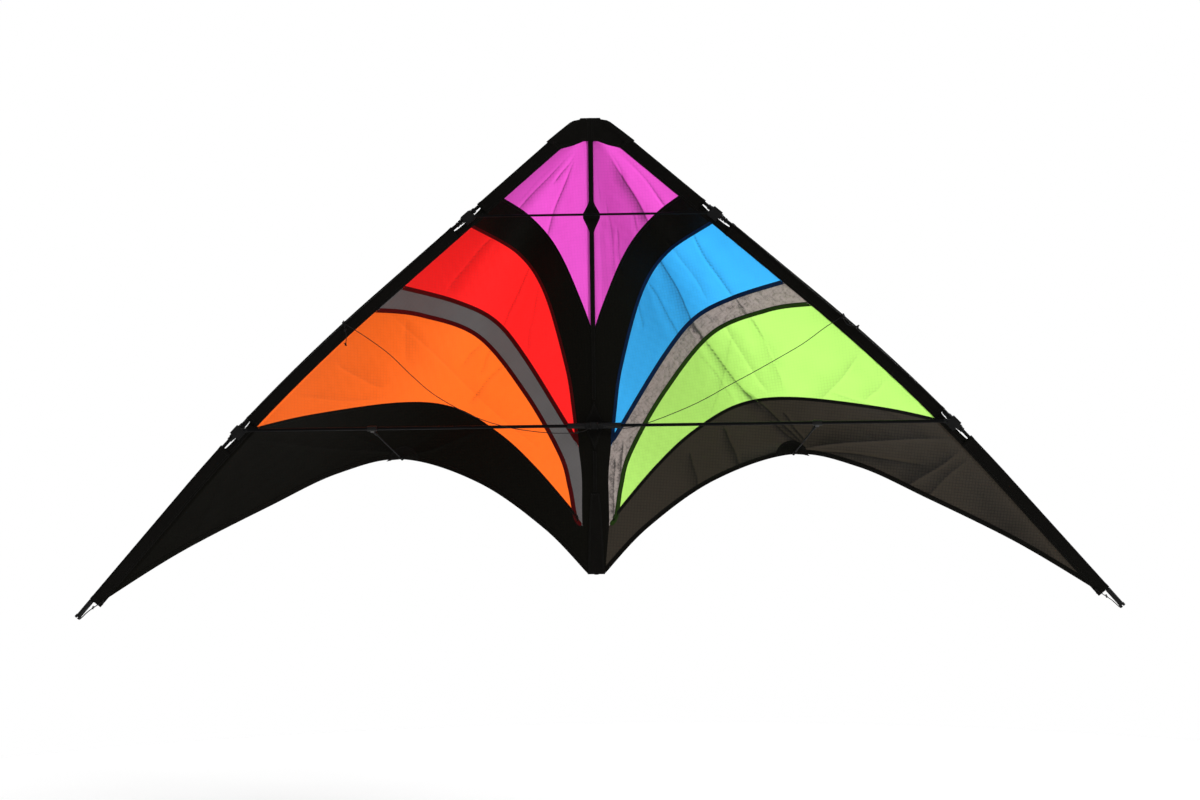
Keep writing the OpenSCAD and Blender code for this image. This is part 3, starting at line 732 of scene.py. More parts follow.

# %% [markdown]
# ## Folds in the cloth
# The sail is stretched between few points, so it creases in straight lines that run from
# those points: from the nose through the magenta cloth, across the coloured panels from the
# leading edge to the column, and from the lower connector and the stand-off over the black
# trailing cloth. A cloth simulation of so flat and tight a sheet would only flatten it, so
# each fold is listed, as (start x, z, end x, z, width, height, darkness, bow). The
# sail's depth gets a ridge along it, steep on one side, and a painted shade is worked out for
# each point: dark in the fold's core and on its lee side, a little lighter in a narrow band on
# its lit side. A negative darkness puts the shade on the other side.

# %% Creases, right and left
CREASES = {
    "right": [
        (6, -38, 15, -140, 5, 1.2, 0.9, 0), (13, -42, 99, -182, 17, 3.6, 1.4, 5),
        (27, -46, 56, -104, 6, 1.4, -0.6, 2), (40, -48, 130, -156, 7, 1.8, -1.0, 4),
        (14, -196, 18, -360, 9, 1.2, -0.5, 0), (27, -150, 39, -290, 6, 1.0, 0.4, 3),
        (44, -190, 53, -270, 5, 1.0, 0.4, -2), (70, -160, 84, -214, 5, 1.0, 0.4, 1),
        (173, -198, 246, -310, 7, 1.6, -0.6, -4), (252, -315, 270, -342, 6, 1.2, 0.6, 0),
        (116, -240, 176, -360, 22, 3.2, 1.0, 3), (172, -350, 286, -500, 12, 3.2, 1.0, -4),
        (98, -284, 148, -378, 8, 1.4, 0.55, 2), (75, -310, 86, -362, 6, 1.0, 0.4, 2),
        (128, -210, 196, -306, 10, 1.4, -0.3, 3), (276, -350, 322, -432, 12, 1.2, -0.25, 3),
        (228, -352, 300, -470, 14, 1.6, -0.3, -3), (186, -410, 242, -490, 12, 1.4, 0.3, 3),
        (262, -474, 362, -568, 12, 3.0, 0.9, 4), (308, -528, 360, -572, 7, 2.0, 0.6, 0),
        (224, -538, 250, -604, 14, 1.6, 1.0, 2), (164, -582, 179, -646, 12, 1.2, 0.8, 1),
        (624, -562, 372, -576, 22, 2.6, 0.8, -6), (378, -582, 560, -606, 16, 1.8, 0.8, 3),
        (627, -582, 535, -648, 22, 2.2, 0.9, 3), (332, -514, 368, -564, 8, 1.4, 0.8, 0),
        (640, -596, 572, -668, 16, 1.6, 0.7, -2), (664, -604, 800, -786, 70, 1.2, 0.9, 0),
        (334, -576, 250, -604, 12, 1.6, 0.9, 2), (457, -414, 392, -496, 22, 1.8, 0.35, 3),
        (500, -460, 468, -494, 18, 1.4, 0.3, 2), (274, -343, 330, -466, 16, 1.6, 0.35, 4),
        (34, -590, 30, -696, 16, 1.0, 0.8, 0), (48, -560, 42, -680, 9, 1.0, 0.8, 0),
        (240, -380, 200, -520, 18, 1.2, 0.22, 4), (420, -480, 560, -540, 16, 1.2, 0.25, 3),
    ],
    "left": [
        (11, -40, 129, -155, 6, 1.8, 0.9, 3), (18, -48, 64, -106, 5, 1.4, 0.8, -2),
        (30, -76, 80, -200, 7, 1.4, 0.75, 3), (43, -62, 124, -136, 6, 1.0, 0.35, 2),
        (7, -44, 9, -150, 7, 1.4, 0.5, 0), (9, -220, 5, -380, 8, 1.2, 0.6, 0),
        (173, -198, 255, -290, 8, 1.4, 0.4, 3), (107, -246, 163, -360, 6, 1.3, 0.45, 2),
        (95, -288, 118, -402, 7, 0.9, 0.25, 2), (198, -380, 238, -422, 7, 1.0, 0.35, 2),
        (160, -420, 222, -486, 8, 1.4, 0.4, 3), (184, -392, 204, -438, 6, 0.9, 0.3, 1),
        (328, -344, 334, -416, 16, 1.0, 0.2, 3), (445, -418, 380, -458, 18, 1.6, 0.25, 4),
        (352, -330, 110, -560, 14, 1.0, 0.15, 8), (520, -470, 390, -480, 14, 1.2, 0.2, 4),
        (600, -545, 360, -575, 12, 1.2, 0.2, 4), (345, -584, 215, -540, 11, 1.2, 0.2, 3),
        (345, -584, 460, -530, 12, 1.0, 0.2, 3), (620, -565, 700, -722, 11, 1.0, 0.2, 3),
    ],
}


def folds(x, z, side):
    """Height of the folds at each point, and how far the cloth lies in their shade there."""
    height = np.zeros_like(x)
    shade = np.zeros_like(x)
    for k, (x0, z0, x1, z1, width, rise, dark, bow) in enumerate(CREASES[side]):
        dx, dz = x1 - x0, z1 - z0
        length = math.hypot(dx, dz)
        t = ((x - x0) * dx + (z - z0) * dz) / length ** 2
        across = ((x - x0) * dz - (z - z0) * dx) / length
        across = (across + bow * 4 * t * (1 - t) + 0.8 * np.sin(9 * t + k)) * (1 if dark > 0 else -1)
        near = np.abs(t - 0.5) < 0.75
        spread = width * (0.35 + 0.65 * np.clip(t * 2, 0, 1))
        fade = np.clip((t + 0.06) * 9, 0, 1) * np.clip((1.1 - t) * 5, 0, 1) * near
        steep = np.where(across > 0, across / spread, -across / (0.3 * spread))
        height += rise * np.exp(-steep) * fade
        height -= 0.7 * rise * np.exp(-((across - 2.1 * spread) / (1.2 * spread)) ** 2) * fade
        # Painted shade: the fold's core and its lee side are darkened, and a band on its lit side is
        # lightened
        core = np.exp(-(across / 1.3) ** 2)
        lee = np.where(across > 0, np.exp(-(across / spread) ** 1.6), 0)
        lit = np.where(across < 0, np.exp(-((across + 3) / 2.2) ** 2), 0)
        shade += abs(dark) * (0.6 * core + 0.55 * lee - 0.35 * lit) * fade
    waves = 0.6 * np.sin(x * 0.045 + z * 0.021 + 1.3) * np.sin(x * 0.017 - z * 0.039)
    puckers = 0.22 * np.sin(x * 0.31 + z * 0.12) * np.sin(x * 0.07 - z * 0.23 + 2)
    return height + waves + puckers, np.clip(shade, -0.35, 1)


def held_flat(x, z):
    """1 in the open cloth and 0 where a rod or the nose holds it."""
    r, angle, edge = polar(x, z)
    at_edge = np.clip((edge - angle) * r / 30, 0, 1)
    at_spine = np.clip((x - 6) / 30, 0, 1)
    return at_edge * at_spine * np.clip((r - 55) / 60, 0, 1)


def surface(xz, side, proud=0.0):
    """Lifts [x, z] points of the right half onto the sail of the given side, in metres."""
    x, z = np.abs(xz[:, 0]), xz[:, 1]
    # folds() also gives each point's painted fold shade
    height, painted_shade = folds(x, z, side)
    calm = held_flat(x, z)
    y = sail_y(x, z) - height * calm + proud
    sign = SIGN[side]
    return np.column_stack([sign * xz[:, 0], y, z]) * MM, painted_shade * calm


# %% [markdown]
# ## How the cloth folds away
# When the frame folds, the leading edge turns about the nose and the spine stays, and the
# sail between them gathers into one deep fold.

# %% Weights for the fold
COLUMN_HALF = 26.0


def fold_share(x, z):
    r, angle, edge = polar(x, z)
    start = np.minimum(np.arcsin(np.minimum(0.9, COLUMN_HALF / r)), edge * 0.55)
    t = np.clip((angle - start) / (edge - start), 0, 1)
    return 0.5 * t + 0.5 * t * t * (3 - 2 * t)


def gather(obj, share=None):
    """Bakes the piece's placement into its mesh and works out each point's share of the fold, which
    nothing uses.
    """
    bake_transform(obj)
    count = len(obj.data.vertices)
    points = np.zeros(count * 3, np.float32)
    obj.data.vertices.foreach_get("co", points)
    points = points.reshape(-1, 3) / MM
    if share is None:
        share = fold_share(np.abs(points[:, 0]), points[:, 2])


def grid_faces(n, m, closed=False):
    """Quads of an n by m grid; closed joins the last column to the first."""
    last = m if closed else m - 1
    return [(i * m + j, (i + 1) * m + j, (i + 1) * m + (j + 1) % m, i * m + (j + 1) % m)
            for i in range(n - 1) for j in range(last)]


# %% [markdown]
# ## The sail panels
# A sport kite's sail is pieced from cut panels. Neighbouring panels share a seam, and a seam
# is a smooth curve through a few points, from the leading edge in to the column. Each panel
# is the band between two seams: points are spread evenly across from one seam to the other
# and lifted onto the sail. A modelled grid keeps the weave's scale and the creases exact.

# %% Seams
def on_edge(s, tuck=0.5):
    """A point [x, z] at the sleeve's inner edge; a negative tuck goes under the sleeve."""
    p = wing_point(s, -CLOTH_EDGE - tuck, 0)
    return [p[0], p[2]]


TUCK = -2.5
EDGE_AT = [SLEEVE_START + 1, 177, 243, 406, 466, 769, 1155]
SEAMS = {
    "nose": [on_edge(34, TUCK), [38, -38], [24, -32], [11, -29], [0.3, -28]],
    "arc_top": [on_edge(EDGE_AT[1], TUCK), [114, -165], [70, -216], [33, -293], [0.3, -393],
                [0.3, -490], [12, -530], [0.3, -568], [0.3, -785]],
    "arc_bottom": [on_edge(EDGE_AT[2], TUCK), [131, -225], [83, -296], [46, -425], [34, -503],
                   [28, -566], [23, -620], [23, -703], [15, -784]],
    "band_top": [on_edge(EDGE_AT[3], TUCK), [246, -309], [178, -343], [124, -407], [51, -524],
                 [28, -566], [23, -620], [23, -703]],
    "band_bottom": [on_edge(EDGE_AT[4], TUCK), [303, -333], [206, -371], [121, -473], [61, -577],
                    [44, -636], [35, -687], [23, -703]],
    "trailing_top": [on_edge(EDGE_AT[5], TUCK), [496, -509], [349, -490], [254, -500], [173, -545],
                     [106, -605], [35, -687], [23, -703]],
    "trailing_edge": [on_edge(EDGE_AT[6], TUCK), [723, -740], [577, -665], [461, -610], [345, -587],
                      [205, -630], [90, -707], [15, -784]],
}
CURVES = {name: spline(knots) for name, knots in SEAMS.items()}
CURVES["arc_top"][:, 0] = np.maximum(CURVES["arc_top"][:, 0], 0.3)


def share_spans(name, other, first, last):
    """Makes a seam follow another one exactly over some spans, where their cloths meet."""
    a, b = first * SPAN_STEPS, last * SPAN_STEPS + 1
    CURVES[name][a:b] = CURVES[other][a:b]


CURVES["arc_bottom"][7 * SPAN_STEPS:] = np.linspace([23, -703], [15, -784], SPAN_STEPS + 1)
share_spans("band_top", "arc_bottom", 5, 7)
share_spans("trailing_top", "band_bottom", 6, 7)
print("seams:", {name: len(c) for name, c in CURVES.items()})

# %% Panels


def panel_grid(a, b, span, rows):
    """[x, z] points between two seams, bowed out where the leading edge is bent."""
    n = len(a)
    made = []
    for i in range(n):
        decay = (1 - i / (n - 1)) ** 4
        for j in range(rows + 1):
            t = j / rows
            chord = (1 - t) * np.array(on_edge(span[0])) + t * np.array(on_edge(span[1]))
            bow = np.array(on_edge(span[0] + (span[1] - span[0]) * t)) - chord
            made.append((1 - t) * a[i] + t * b[i] + bow * decay)
    return np.array(made)


def flat_size(points, faces, columns):
    """Width, length and area of a nearly flat mesh, laid out, in metres. A narrow band that
    is cut on a curve is measured along its middle line."""
    corners = np.array([[points[v] for v in f] for f in faces])
    diagonals = np.cross(corners[:, 2] - corners[:, 0], corners[:, 3] - corners[:, 1])
    area = float(np.linalg.norm(diagonals, axis=1).sum() / 2)
    middle = points - points.mean(axis=0)
    axes = np.linalg.svd(middle[::7], full_matrices=False)[2]
    length, width = [float(v) for v in np.ptp(middle @ axes.T, axis=0)[:2]]
    if area < 0.35 * width * length:
        line = points.reshape(-1, columns, 3).mean(axis=1)
        length = float(np.linalg.norm(np.diff(line, axis=0), axis=1).sum())
        width = 1.3 * area / length
    return max(width, 1.01 * area / length), length, area


# Each panel: its two seams, how many spans of them, its place on the leading edge, its rows,
# and the cloth of the left and of the right one
PANELS = {
    "nose_panel": ("nose", "arc_top", 4, 0, 120, "magenta_cloth", "magenta_cloth"),
    "arc_panel": ("arc_top", "arc_bottom", 8, 1, 36, "black_cloth", "black_cloth"),
    "upper_panel": ("arc_bottom", "band_top", 5, 2, 110, "red_cloth", "blue_cloth"),
    "grey_band": ("band_top", "band_bottom", 7, 3, 30, "dark_grey_cloth", "silver_grey_cloth"),
    "lower_panel": ("band_bottom", "trailing_top", 6, 4, 150, "orange_cloth", "lime_cloth"),
    "trailing_panel": ("trailing_top", "trailing_edge", 7, 5, 130, "black_cloth",
                       "brown_black_cloth"),
}
CAD_NAMES = {("upper_panel", "left"): "red_panel", ("upper_panel", "right"): "blue_panel",
             ("lower_panel", "left"): "orange_panel", ("lower_panel", "right"): "lime_panel"}


def make_panel(kind, side):
    top, bottom, spans, place, rows, left_slot, right_slot = PANELS[kind]
    slot = left_slot if side == "left" else right_slot
    a = CURVES[top][:spans * SPAN_STEPS + 1]
    b = CURVES[bottom][:spans * SPAN_STEPS + 1]
    xz = panel_grid(a, b, EDGE_AT[place:place + 2], rows)
    points, painted_shade = surface(xz, side)
    node = CAD_NAMES.get((kind, side), kind + "_" + side)
    faces = grid_faces(len(a), rows + 1)
    if side == "left":
        faces = [f[::-1] for f in faces]
    width, length, area = flat_size(points, faces, rows + 1)
    piece = new_piece(node + "_cloth", points, faces, CLOTHS[slot])
    # The painted fold shade from surface() is kept on the points for the cloth's shader
    painted_crease_shade = piece.data.attributes.new("painted_crease_shade", "FLOAT", "POINT")
    painted_crease_shade.data.foreach_set("value", painted_shade.astype(np.float32))
    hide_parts(node)
    gather(piece)
    print(f"{node}: {width:.3f} x {length:.3f} m, {area:.4f} m2")


for kind in PANELS:
    for side in SIGN:
        make_panel(kind, side)

# %% [markdown]
# ## Stitching
# Every seam of a kite is sewn with zigzag or straight stitches a few millimetres long. A
# stitch is a short, fat, low-poly grain of thread, and a row of them follows a line, so this
# is work for Geometry Nodes: the line is resampled at the stitch pitch and a grain is placed
# at each point, along the line and flat on the cloth. The attribute "out" on the line says
# which way the cloth faces. The result is made a plain mesh for each side.

# %% The stitch tree
STITCH_PITCH = 3.4
STITCH_LENGTH = 2.5
STITCH_WIDTH = 0.55


def stitch_tree():
    tree = bpy.data.node_groups.new("stitch_rows", "GeometryNodeTree")
    face = tree.interface
    face.new_socket("Rows", in_out="INPUT", socket_type="NodeSocketGeometry")
    sockets = {name: face.new_socket(name, in_out="INPUT", socket_type=kind).identifier
               for name, kind in (("Pitch", "NodeSocketFloat"), ("Length", "NodeSocketFloat"),
                                  ("Width", "NodeSocketFloat"), ("Slant", "NodeSocketFloat"),
                                  ("Thread", "NodeSocketMaterial"))}
    face.new_socket("Stitches", in_out="OUTPUT", socket_type="NodeSocketGeometry")

    def node(kind, settings=None, **inputs):
        made = tree.nodes.new(kind)
        for name, value in (settings or {}).items():
            setattr(made, name, value)
        for name, value in inputs.items():
            socket = made.inputs[name.replace("_", " ")]
            if isinstance(value, bpy.types.NodeSocket):
                tree.links.new(value, socket)
            else:
                socket.default_value = value
        return made

    given = node("NodeGroupInput")
    curve = node("GeometryNodeMeshToCurve", Mesh=given.outputs["Rows"])
    even = node("GeometryNodeResampleCurve", {"mode": "LENGTH"}, Curve=curve.outputs[0],
                Length=given.outputs["Pitch"])
    grain = node("GeometryNodeMeshUVSphere", Segments=6, Rings=4, Radius=0.5)
    size = node("ShaderNodeCombineXYZ", X=given.outputs["Width"], Y=given.outputs["Width"],
                Z=given.outputs["Length"])
    shaped = node("GeometryNodeTransform", Geometry=grain.outputs[0], Scale=size.outputs[0])
    tangent = node("GeometryNodeInputTangent")
    out = node("GeometryNodeInputNamedAttribute", {"data_type": "FLOAT_VECTOR"}, Name="out")
    laid = node("FunctionNodeAxesToRotation", {"primary_axis": "Z", "secondary_axis": "X"})
    tree.links.new(tangent.outputs[0], laid.inputs[0])
    tree.links.new(out.outputs[0], laid.inputs[1])
    number = node("GeometryNodeInputIndex")
    odd = node("ShaderNodeMath", {"operation": "PINGPONG"})
    tree.links.new(number.outputs[0], odd.inputs[0])
    odd.inputs[1].default_value = 1.0
    signed = node("ShaderNodeMath", {"operation": "MULTIPLY_ADD"})
    tree.links.new(odd.outputs[0], signed.inputs[0])
    signed.inputs[1].default_value, signed.inputs[2].default_value = 2.0, -1.0
    slant = node("ShaderNodeMath", {"operation": "MULTIPLY"})
    tree.links.new(signed.outputs[0], slant.inputs[0])
    tree.links.new(given.outputs["Slant"], slant.inputs[1])
    lean = node("ShaderNodeCombineXYZ", X=slant.outputs[0])
    turned = node("FunctionNodeEulerToRotation", Euler=lean.outputs[0])
    both = node("FunctionNodeRotateRotation", {"rotation_space": "LOCAL"},
                Rotation=laid.outputs[0], Rotate_By=turned.outputs[0])
    placed = node("GeometryNodeInstanceOnPoints", Points=even.outputs[0],
                  Instance=shaped.outputs[0], Rotation=both.outputs[0])
    real = node("GeometryNodeRealizeInstances", Geometry=placed.outputs[0])
    painted = node("GeometryNodeSetMaterial", Geometry=real.outputs[0],
                   Material=given.outputs["Thread"])
    result = node("NodeGroupOutput")
    tree.links.new(painted.outputs[0], result.inputs[0])
    return tree, sockets


STITCHES, STITCH_SOCKETS = stitch_tree()


def sew(name, rows, slant=0.0):
    """Rows are (points in metres, outward directions); the result is one plain mesh."""
    points, edges, outs = [], [], []
    for line, out in rows:
        base = len(points)
        points += [tuple(p) for p in line]
        outs += [tuple(o) for o in out]
        edges += [(base + i, base + i + 1) for i in range(len(line) - 1)]
    mesh = bpy.data.meshes.new(name)
    mesh.from_pydata(points, edges, [])
    mesh.attributes.new("out", "FLOAT_VECTOR", "POINT").data.foreach_set(
        "vector", [c for o in outs for c in o])
    obj = bpy.data.objects.new(name, mesh)
    bpy.context.collection.objects.link(obj)
    rows_modifier = obj.modifiers.new("stitches", "NODES")
    rows_modifier.node_group = STITCHES
    for key, value in (("Pitch", STITCH_PITCH * MM), ("Length", STITCH_LENGTH * MM),
                       ("Width", STITCH_WIDTH * MM), ("Slant", slant), ("Thread", black_thread)):
        rows_modifier[STITCH_SOCKETS[key]] = value
    bpy.context.view_layer.update()
    done = obj.evaluated_get(bpy.context.evaluated_depsgraph_get())
    plain = bpy.data.meshes.new_from_object(done)
    obj.modifiers.remove(rows_modifier)
    obj.data = plain
    obj.data.polygons.foreach_set("use_smooth", [True] * len(obj.data.polygons))
    print(f"{name}: {len(plain.polygons)} faces")
    return obj


# %% [markdown]
# ## Seams and the trailing-edge hem
# Two panels lap over each other at a seam, and the doubled cloth lets no light through, so
# each seam shows as a dark line in the deep colour of its neighbours. The trailing edge is
# turned over into a hem. Both are modelled as thin closed strips on the sail, a little
# thicker than the cloth, with stitches on both faces: a row near each edge of a seam, and one
# row along the hem.

# %% Strips along a seam
SEAM_W = 7.6
SEAM_THICK = 0.9
HEM_W = 8.0
TIP_STEPS = 8


def beside(curve, offset):
    """The curve moved sideways on the flat pattern, as [x, z]."""
    ahead = np.gradient(curve, axis=0)
    ahead = ahead / np.linalg.norm(ahead, axis=1)[:, None]
    return curve + np.reshape(offset, (-1, 1)) * np.column_stack([-ahead[:, 1], ahead[:, 0]])


def outward(points):
    """The sail's own outward direction along a row, near enough: straight to the front."""
    return np.tile([0.0, -1.0, 0.0], (len(points), 1))


def strip(name, curve, offsets, side, material, thick=SEAM_THICK, tip=1.0):
    """A thin closed strip between two offsets of a curve, with its long edges rounded.

    Its far end narrows to a share of its width, "tip"."""
    low, high = offsets
    width = np.clip(tip + (1 - tip) * np.arange(len(curve))[::-1] / TIP_STEPS, tip, 1)
    across = [width * o for o in (low, low + 0.4, (low + high) / 2, high - 0.4, high)]
    lift = [0.25, 0.5, 0.5, 0.5, 0.25]
    front = [surface(beside(curve, o), side, -thick * k)[0] for o, k in zip(across, lift)]
    back = [surface(beside(curve, o), side, thick * k)[0] for o, k in zip(across, lift)]
    loops = np.stack(front + back[::-1], axis=1)
    n, m = loops.shape[:2]
    faces = grid_faces(n, m, closed=True)
    faces += [tuple(range(m)), tuple((n - 1) * m + k for k in range(m))[::-1]]
    return face_outwards(new_piece(name, loops.reshape(-1, 3), faces, material))


def stitch_lines(curve, offsets, side, thick):
    rows = []
    for offset in offsets:
        for sign in (-1, 1):
            points = surface(beside(curve, offset), side, sign * (thick / 2 + 0.1))[0]
            rows.append((points, outward(points) * -sign))
    return rows


def cut_short(curve, share):
    """The first share of a curve, for a strip that stops early."""
    return curve[:int((len(curve) - 1) * share) + 1]


CENTRED = (-SEAM_W / 2, SEAM_W / 2)
black = CLOTHS["black_cloth"]
# Each tape: its seam, how much of it, its two edges, and the left and the right cloth
TAPES = {
    "nose_seam": ("arc_top", 0.52, (-4.6, 1.2), black, black),
    "arc_seam": ("arc_bottom", 0.62, (-1.2, 4.6), maroon_tape, navy_tape),
    "band_upper_seam": ("band_top", 0.69, CENTRED, maroon_tape, navy_tape),
    "band_lower_seam": ("band_bottom", 0.97, CENTRED, maroon_tape, green_tape),
    "trailing_seam": ("trailing_top", 0.9, (-4.6, 1.2), black, black),
}
for side in SIGN:
    rows = []
    for name, (seam, share, (low, high), left_cloth, right_cloth) in TAPES.items():
        curve = cut_short(CURVES[seam], share)
        cloth = left_cloth if side == "left" else right_cloth
        tape = strip(name + "_" + side, curve, (low, high), side, cloth, tip=0.3)
        gather(tape)
        rows += stitch_lines(curve, (low + 1.1, high - 1.1), side, SEAM_THICK)
    hem_curve = CURVES["trailing_edge"]
    hem = strip("trailing_hem_" + side, hem_curve, (-HEM_W + 0.6, 0.6), side, black, 1.2)
    gather(hem)
    rows += stitch_lines(hem_curve, (-HEM_W + 1.6,), side, 1.2)
    seam_stitches = sew("seam_stitches_" + side, rows)
    gather(seam_stitches)

# %% [markdown]
# ## Leading-edge sleeves
# The leading-edge rod runs in a sleeve of heavier cloth, folded round it and sewn to the
# sail. In section it is a teardrop: round over the rod and flat at the seam. It is swept
# along the rod, a wall thick, with hems at its ends, and the cloth puckers where the needle
# pulled it. The sleeve is cut away in two notches, where the connectors sit on the rod.

# %% Teardrop sleeves
ROUND_R = 4.5
SLEEVE_WALL = 0.55
SLEEVE_HEM = 8.0
ROUND_FROM = -3.4


def teardrop():
    """[out, y] of half the section and the share of pucker there, seam to front of the rod."""
    rows = []
    for out in np.linspace(-CLOTH_EDGE, ROUND_FROM, 9):
        t = (out + CLOTH_EDGE) / (CLOTH_EDGE + ROUND_FROM)
        rows.append((out, -(0.95 + (ROUND_R - 1.35) * t ** 1.25), 1 - t))
    for a in np.radians(np.linspace(-112, 0, 8)):
        rows.append((ROUND_R * math.cos(a), ROUND_R * math.sin(a), 0.12))
    return rows


HALF_SECTION = teardrop()
SECTION = np.array(HALF_SECTION + [(o, -y, p) for o, y, p in HALF_SECTION[-2::-1]])


def pucker(s, along):
    return 0.32 * np.sin(s / 2.9 + 1.7 * np.sin(s / 23)) * np.sin(s / 11.3 + along * 1.3) \
        + 0.22 * np.sin(s / 6.1 + 2.2 * along)


def sleeve_span(s0, s1):
    """Outer and inner walls of one sleeve from s0 to s1, as points and faces."""
    count = max(8, int((s1 - s0) / 4.5))
    outer, inner = [], []
    for s in np.linspace(s0, s1, count):
        hem = 0.45 if min(s - s0, s1 - s) < SLEEVE_HEM else 0.0
        for k, (out, y, soft) in enumerate(SECTION):
            flat = out < ROUND_FROM
            away = np.array([0.15 * np.sign(out + 6), np.sign(y) or 1.0] if flat else [out, y])
            away = away / np.linalg.norm(away)
            wall = min(SLEEVE_WALL, abs(y) * 0.8) if flat else SLEEVE_WALL
            grow = hem + soft * pucker(s, k)
            p = np.array([out, y]) + away * grow
            q = np.array([out, y]) - away * wall
            outer.append(wing_point(s, *p))
            inner.append(wing_point(s, *q))
    m = len(SECTION)
    points = outer + inner
    base = len(outer)
    faces = grid_faces(count, m, closed=True)
    faces += [tuple(base + v for v in f)[::-1] for f in grid_faces(count, m, closed=True)]
    for row in (0, (count - 1) * m):
        faces += [(row + k, row + (k + 1) % m, base + row + (k + 1) % m, base + row + k)
                  for k in range(m)]
    return points, faces


def notch_strip(s0, s1):
    """The cloth left inside a notch, its free edge cut in a shallow curve and hemmed."""
    count = 24
    loops = []
    for t in np.linspace(0, 1, count):
        s = s0 + (s1 - s0) * t
        free = -6.0 + 2.6 * abs(2 * t - 1) ** 5
        ring = [(-CLOTH_EDGE, 0.55), (free - 2.2, 0.55), (free - 1.8, 0.85), (free, 0.6)]
        loops += [wing_point(s, o, -y) for o, y in ring] + [wing_point(s, o, y) for o, y in ring[::-1]]
    faces = grid_faces(count, 8, closed=True)
    faces += [tuple(range(8)), tuple((count - 1) * 8 + k for k in range(8))[::-1]]
    return loops, faces


def joined(parts):
    points, faces = [], []
    for p, f in parts:
        faces += [tuple(v + len(points) for v in face) for face in f]
        points += p
    return points, faces


SLEEVE_SPANS = [(SLEEVE_START, NOTCHES[0][0]), (NOTCHES[0][1], NOTCHES[1][0]),
                (NOTCHES[1][1], SLEEVE_END)]


def sleeve_rows(side):
    """Stitch lines: two along the sail seam on both faces, and one at each hem."""
    rows = []
    for out, height in ((-17.6, 1.35), (-14.4, 1.9)):
        for sign in (-1, 1):
            s = np.arange(SLEEVE_START + 2, SLEEVE_END - 2, 12)
            line = mirrored([wing_point(v, out, sign * height) for v in s], side)
            rows.append((np.array(line) * MM, np.tile([0.0, sign, 0.0], (len(s), 1))))
    for s0, s1 in SLEEVE_SPANS:
        for s in (s0 + SLEEVE_HEM - 2, s1 - SLEEVE_HEM + 2):
            ring = [(o, y) for o, y, soft in SECTION]
            line = [wing_point(s, o, y + 0.5 * np.sign(y)) for o, y in ring]
            line = np.array(mirrored(line, side)) * MM
            axis = np.array(mirrored([wing_point(s, o * 0.5, 0) for o, y in ring], side)) * MM
            rows.append((line, (line - axis) / np.linalg.norm(line - axis, axis=1)[:, None]))
    return rows


for side in SIGN:
    parts = [sleeve_span(*span) for span in SLEEVE_SPANS]
    parts += [notch_strip(a - 4, b + 4) for a, b in NOTCHES]
    points, faces = joined(parts)
    sleeve = face_outwards(new_piece("leading_sleeve_cloth_" + side,
                                     [p * MM for p in mirrored(points, side)], faces, sleeve_cloth))
    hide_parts("leading_sleeve_" + side)
    settle(sleeve, "wing_" + side)
    rows = sew("sleeve_stitches_" + side, sleeve_rows(side))
    settle(rows, "wing_" + side)

# %% [markdown]
# ## Patches, tape and webbing
# Where a rod end or a fitting would wear the cloth, a patch of heavy cloth is sewn on: two
# diamonds on the spine, one at the tail and one at each stand-off. A patch is an outline cut
# into a fine grid and laid on whatever it covers, so it follows the sail's curve. The nose
# webbing is made the same way, and it bulges over the three rods that meet inside it.

# %% Cutting a patch


def cut_patch(name, outline, lift, thick, material, cell=4.0):
    """A closed patch from an outline of [x, z]; lift(x, z) is the y of its front face."""
    work = bmesh.new()
    ring = [work.verts.new((x, 0, z)) for x, z in outline]
    work.faces.new(ring)
    lows, highs = np.min(outline, axis=0), np.max(outline, axis=0)
    for axis, low, high in ((0, lows[0], highs[0]), (2, lows[1], highs[1])):
        for cut in np.arange(low + cell / 2, high, cell):
            normal = [0, 0, 0]
            normal[axis] = 1
            place = [0, 0, 0]
            place[axis] = cut
            bmesh.ops.bisect_plane(work, geom=work.verts[:] + work.edges[:] + work.faces[:],
                                   plane_co=place, plane_no=normal)
    raised = bmesh.ops.extrude_face_region(work, geom=work.faces[:])["geom"]
    top = {v for v in raised if isinstance(v, bmesh.types.BMVert)}
    for v in work.verts:
        front = lift(v.co.x, v.co.z)
        v.co.y = front if v in top else front + thick
    for v in work.verts:
        v.co *= MM
    bmesh.ops.recalc_face_normals(work, faces=work.faces)
    mesh = bpy.data.meshes.new(name)
    work.to_mesh(mesh)
    work.free()
    mesh.materials.append(material)
    mesh.polygons.foreach_set("use_smooth", [False] * len(mesh.polygons))
    mesh.update()
    obj = bpy.data.objects.new(name, mesh)
    bpy.context.collection.objects.link(obj)
    print(f"{name}: {len(mesh.polygons)} faces")
    return obj


def inset(outline, by):
    """The outline drawn in towards its inside, for a row of stitches."""
    p = np.array(outline + [outline[0]], float)
    area = np.sum(p[:-1, 0] * p[1:, 1] - p[1:, 0] * p[:-1, 1]) / 2
    p = p[:-1]
    n = len(p)
    made = []
    for i in range(n):
        a, b, c = p[i - 1], p[i], p[(i + 1) % n]
        u, v = (b - a) / np.linalg.norm(b - a), (c - b) / np.linalg.norm(c - b)
        normal = np.array([-(u + v)[1], (u + v)[0]]) * np.sign(area)
        normal = normal / np.linalg.norm(normal)
        made.append(b + normal * by / max(0.4, math.sqrt((1 + u @ v) / 2)))
    return made + [made[0]]


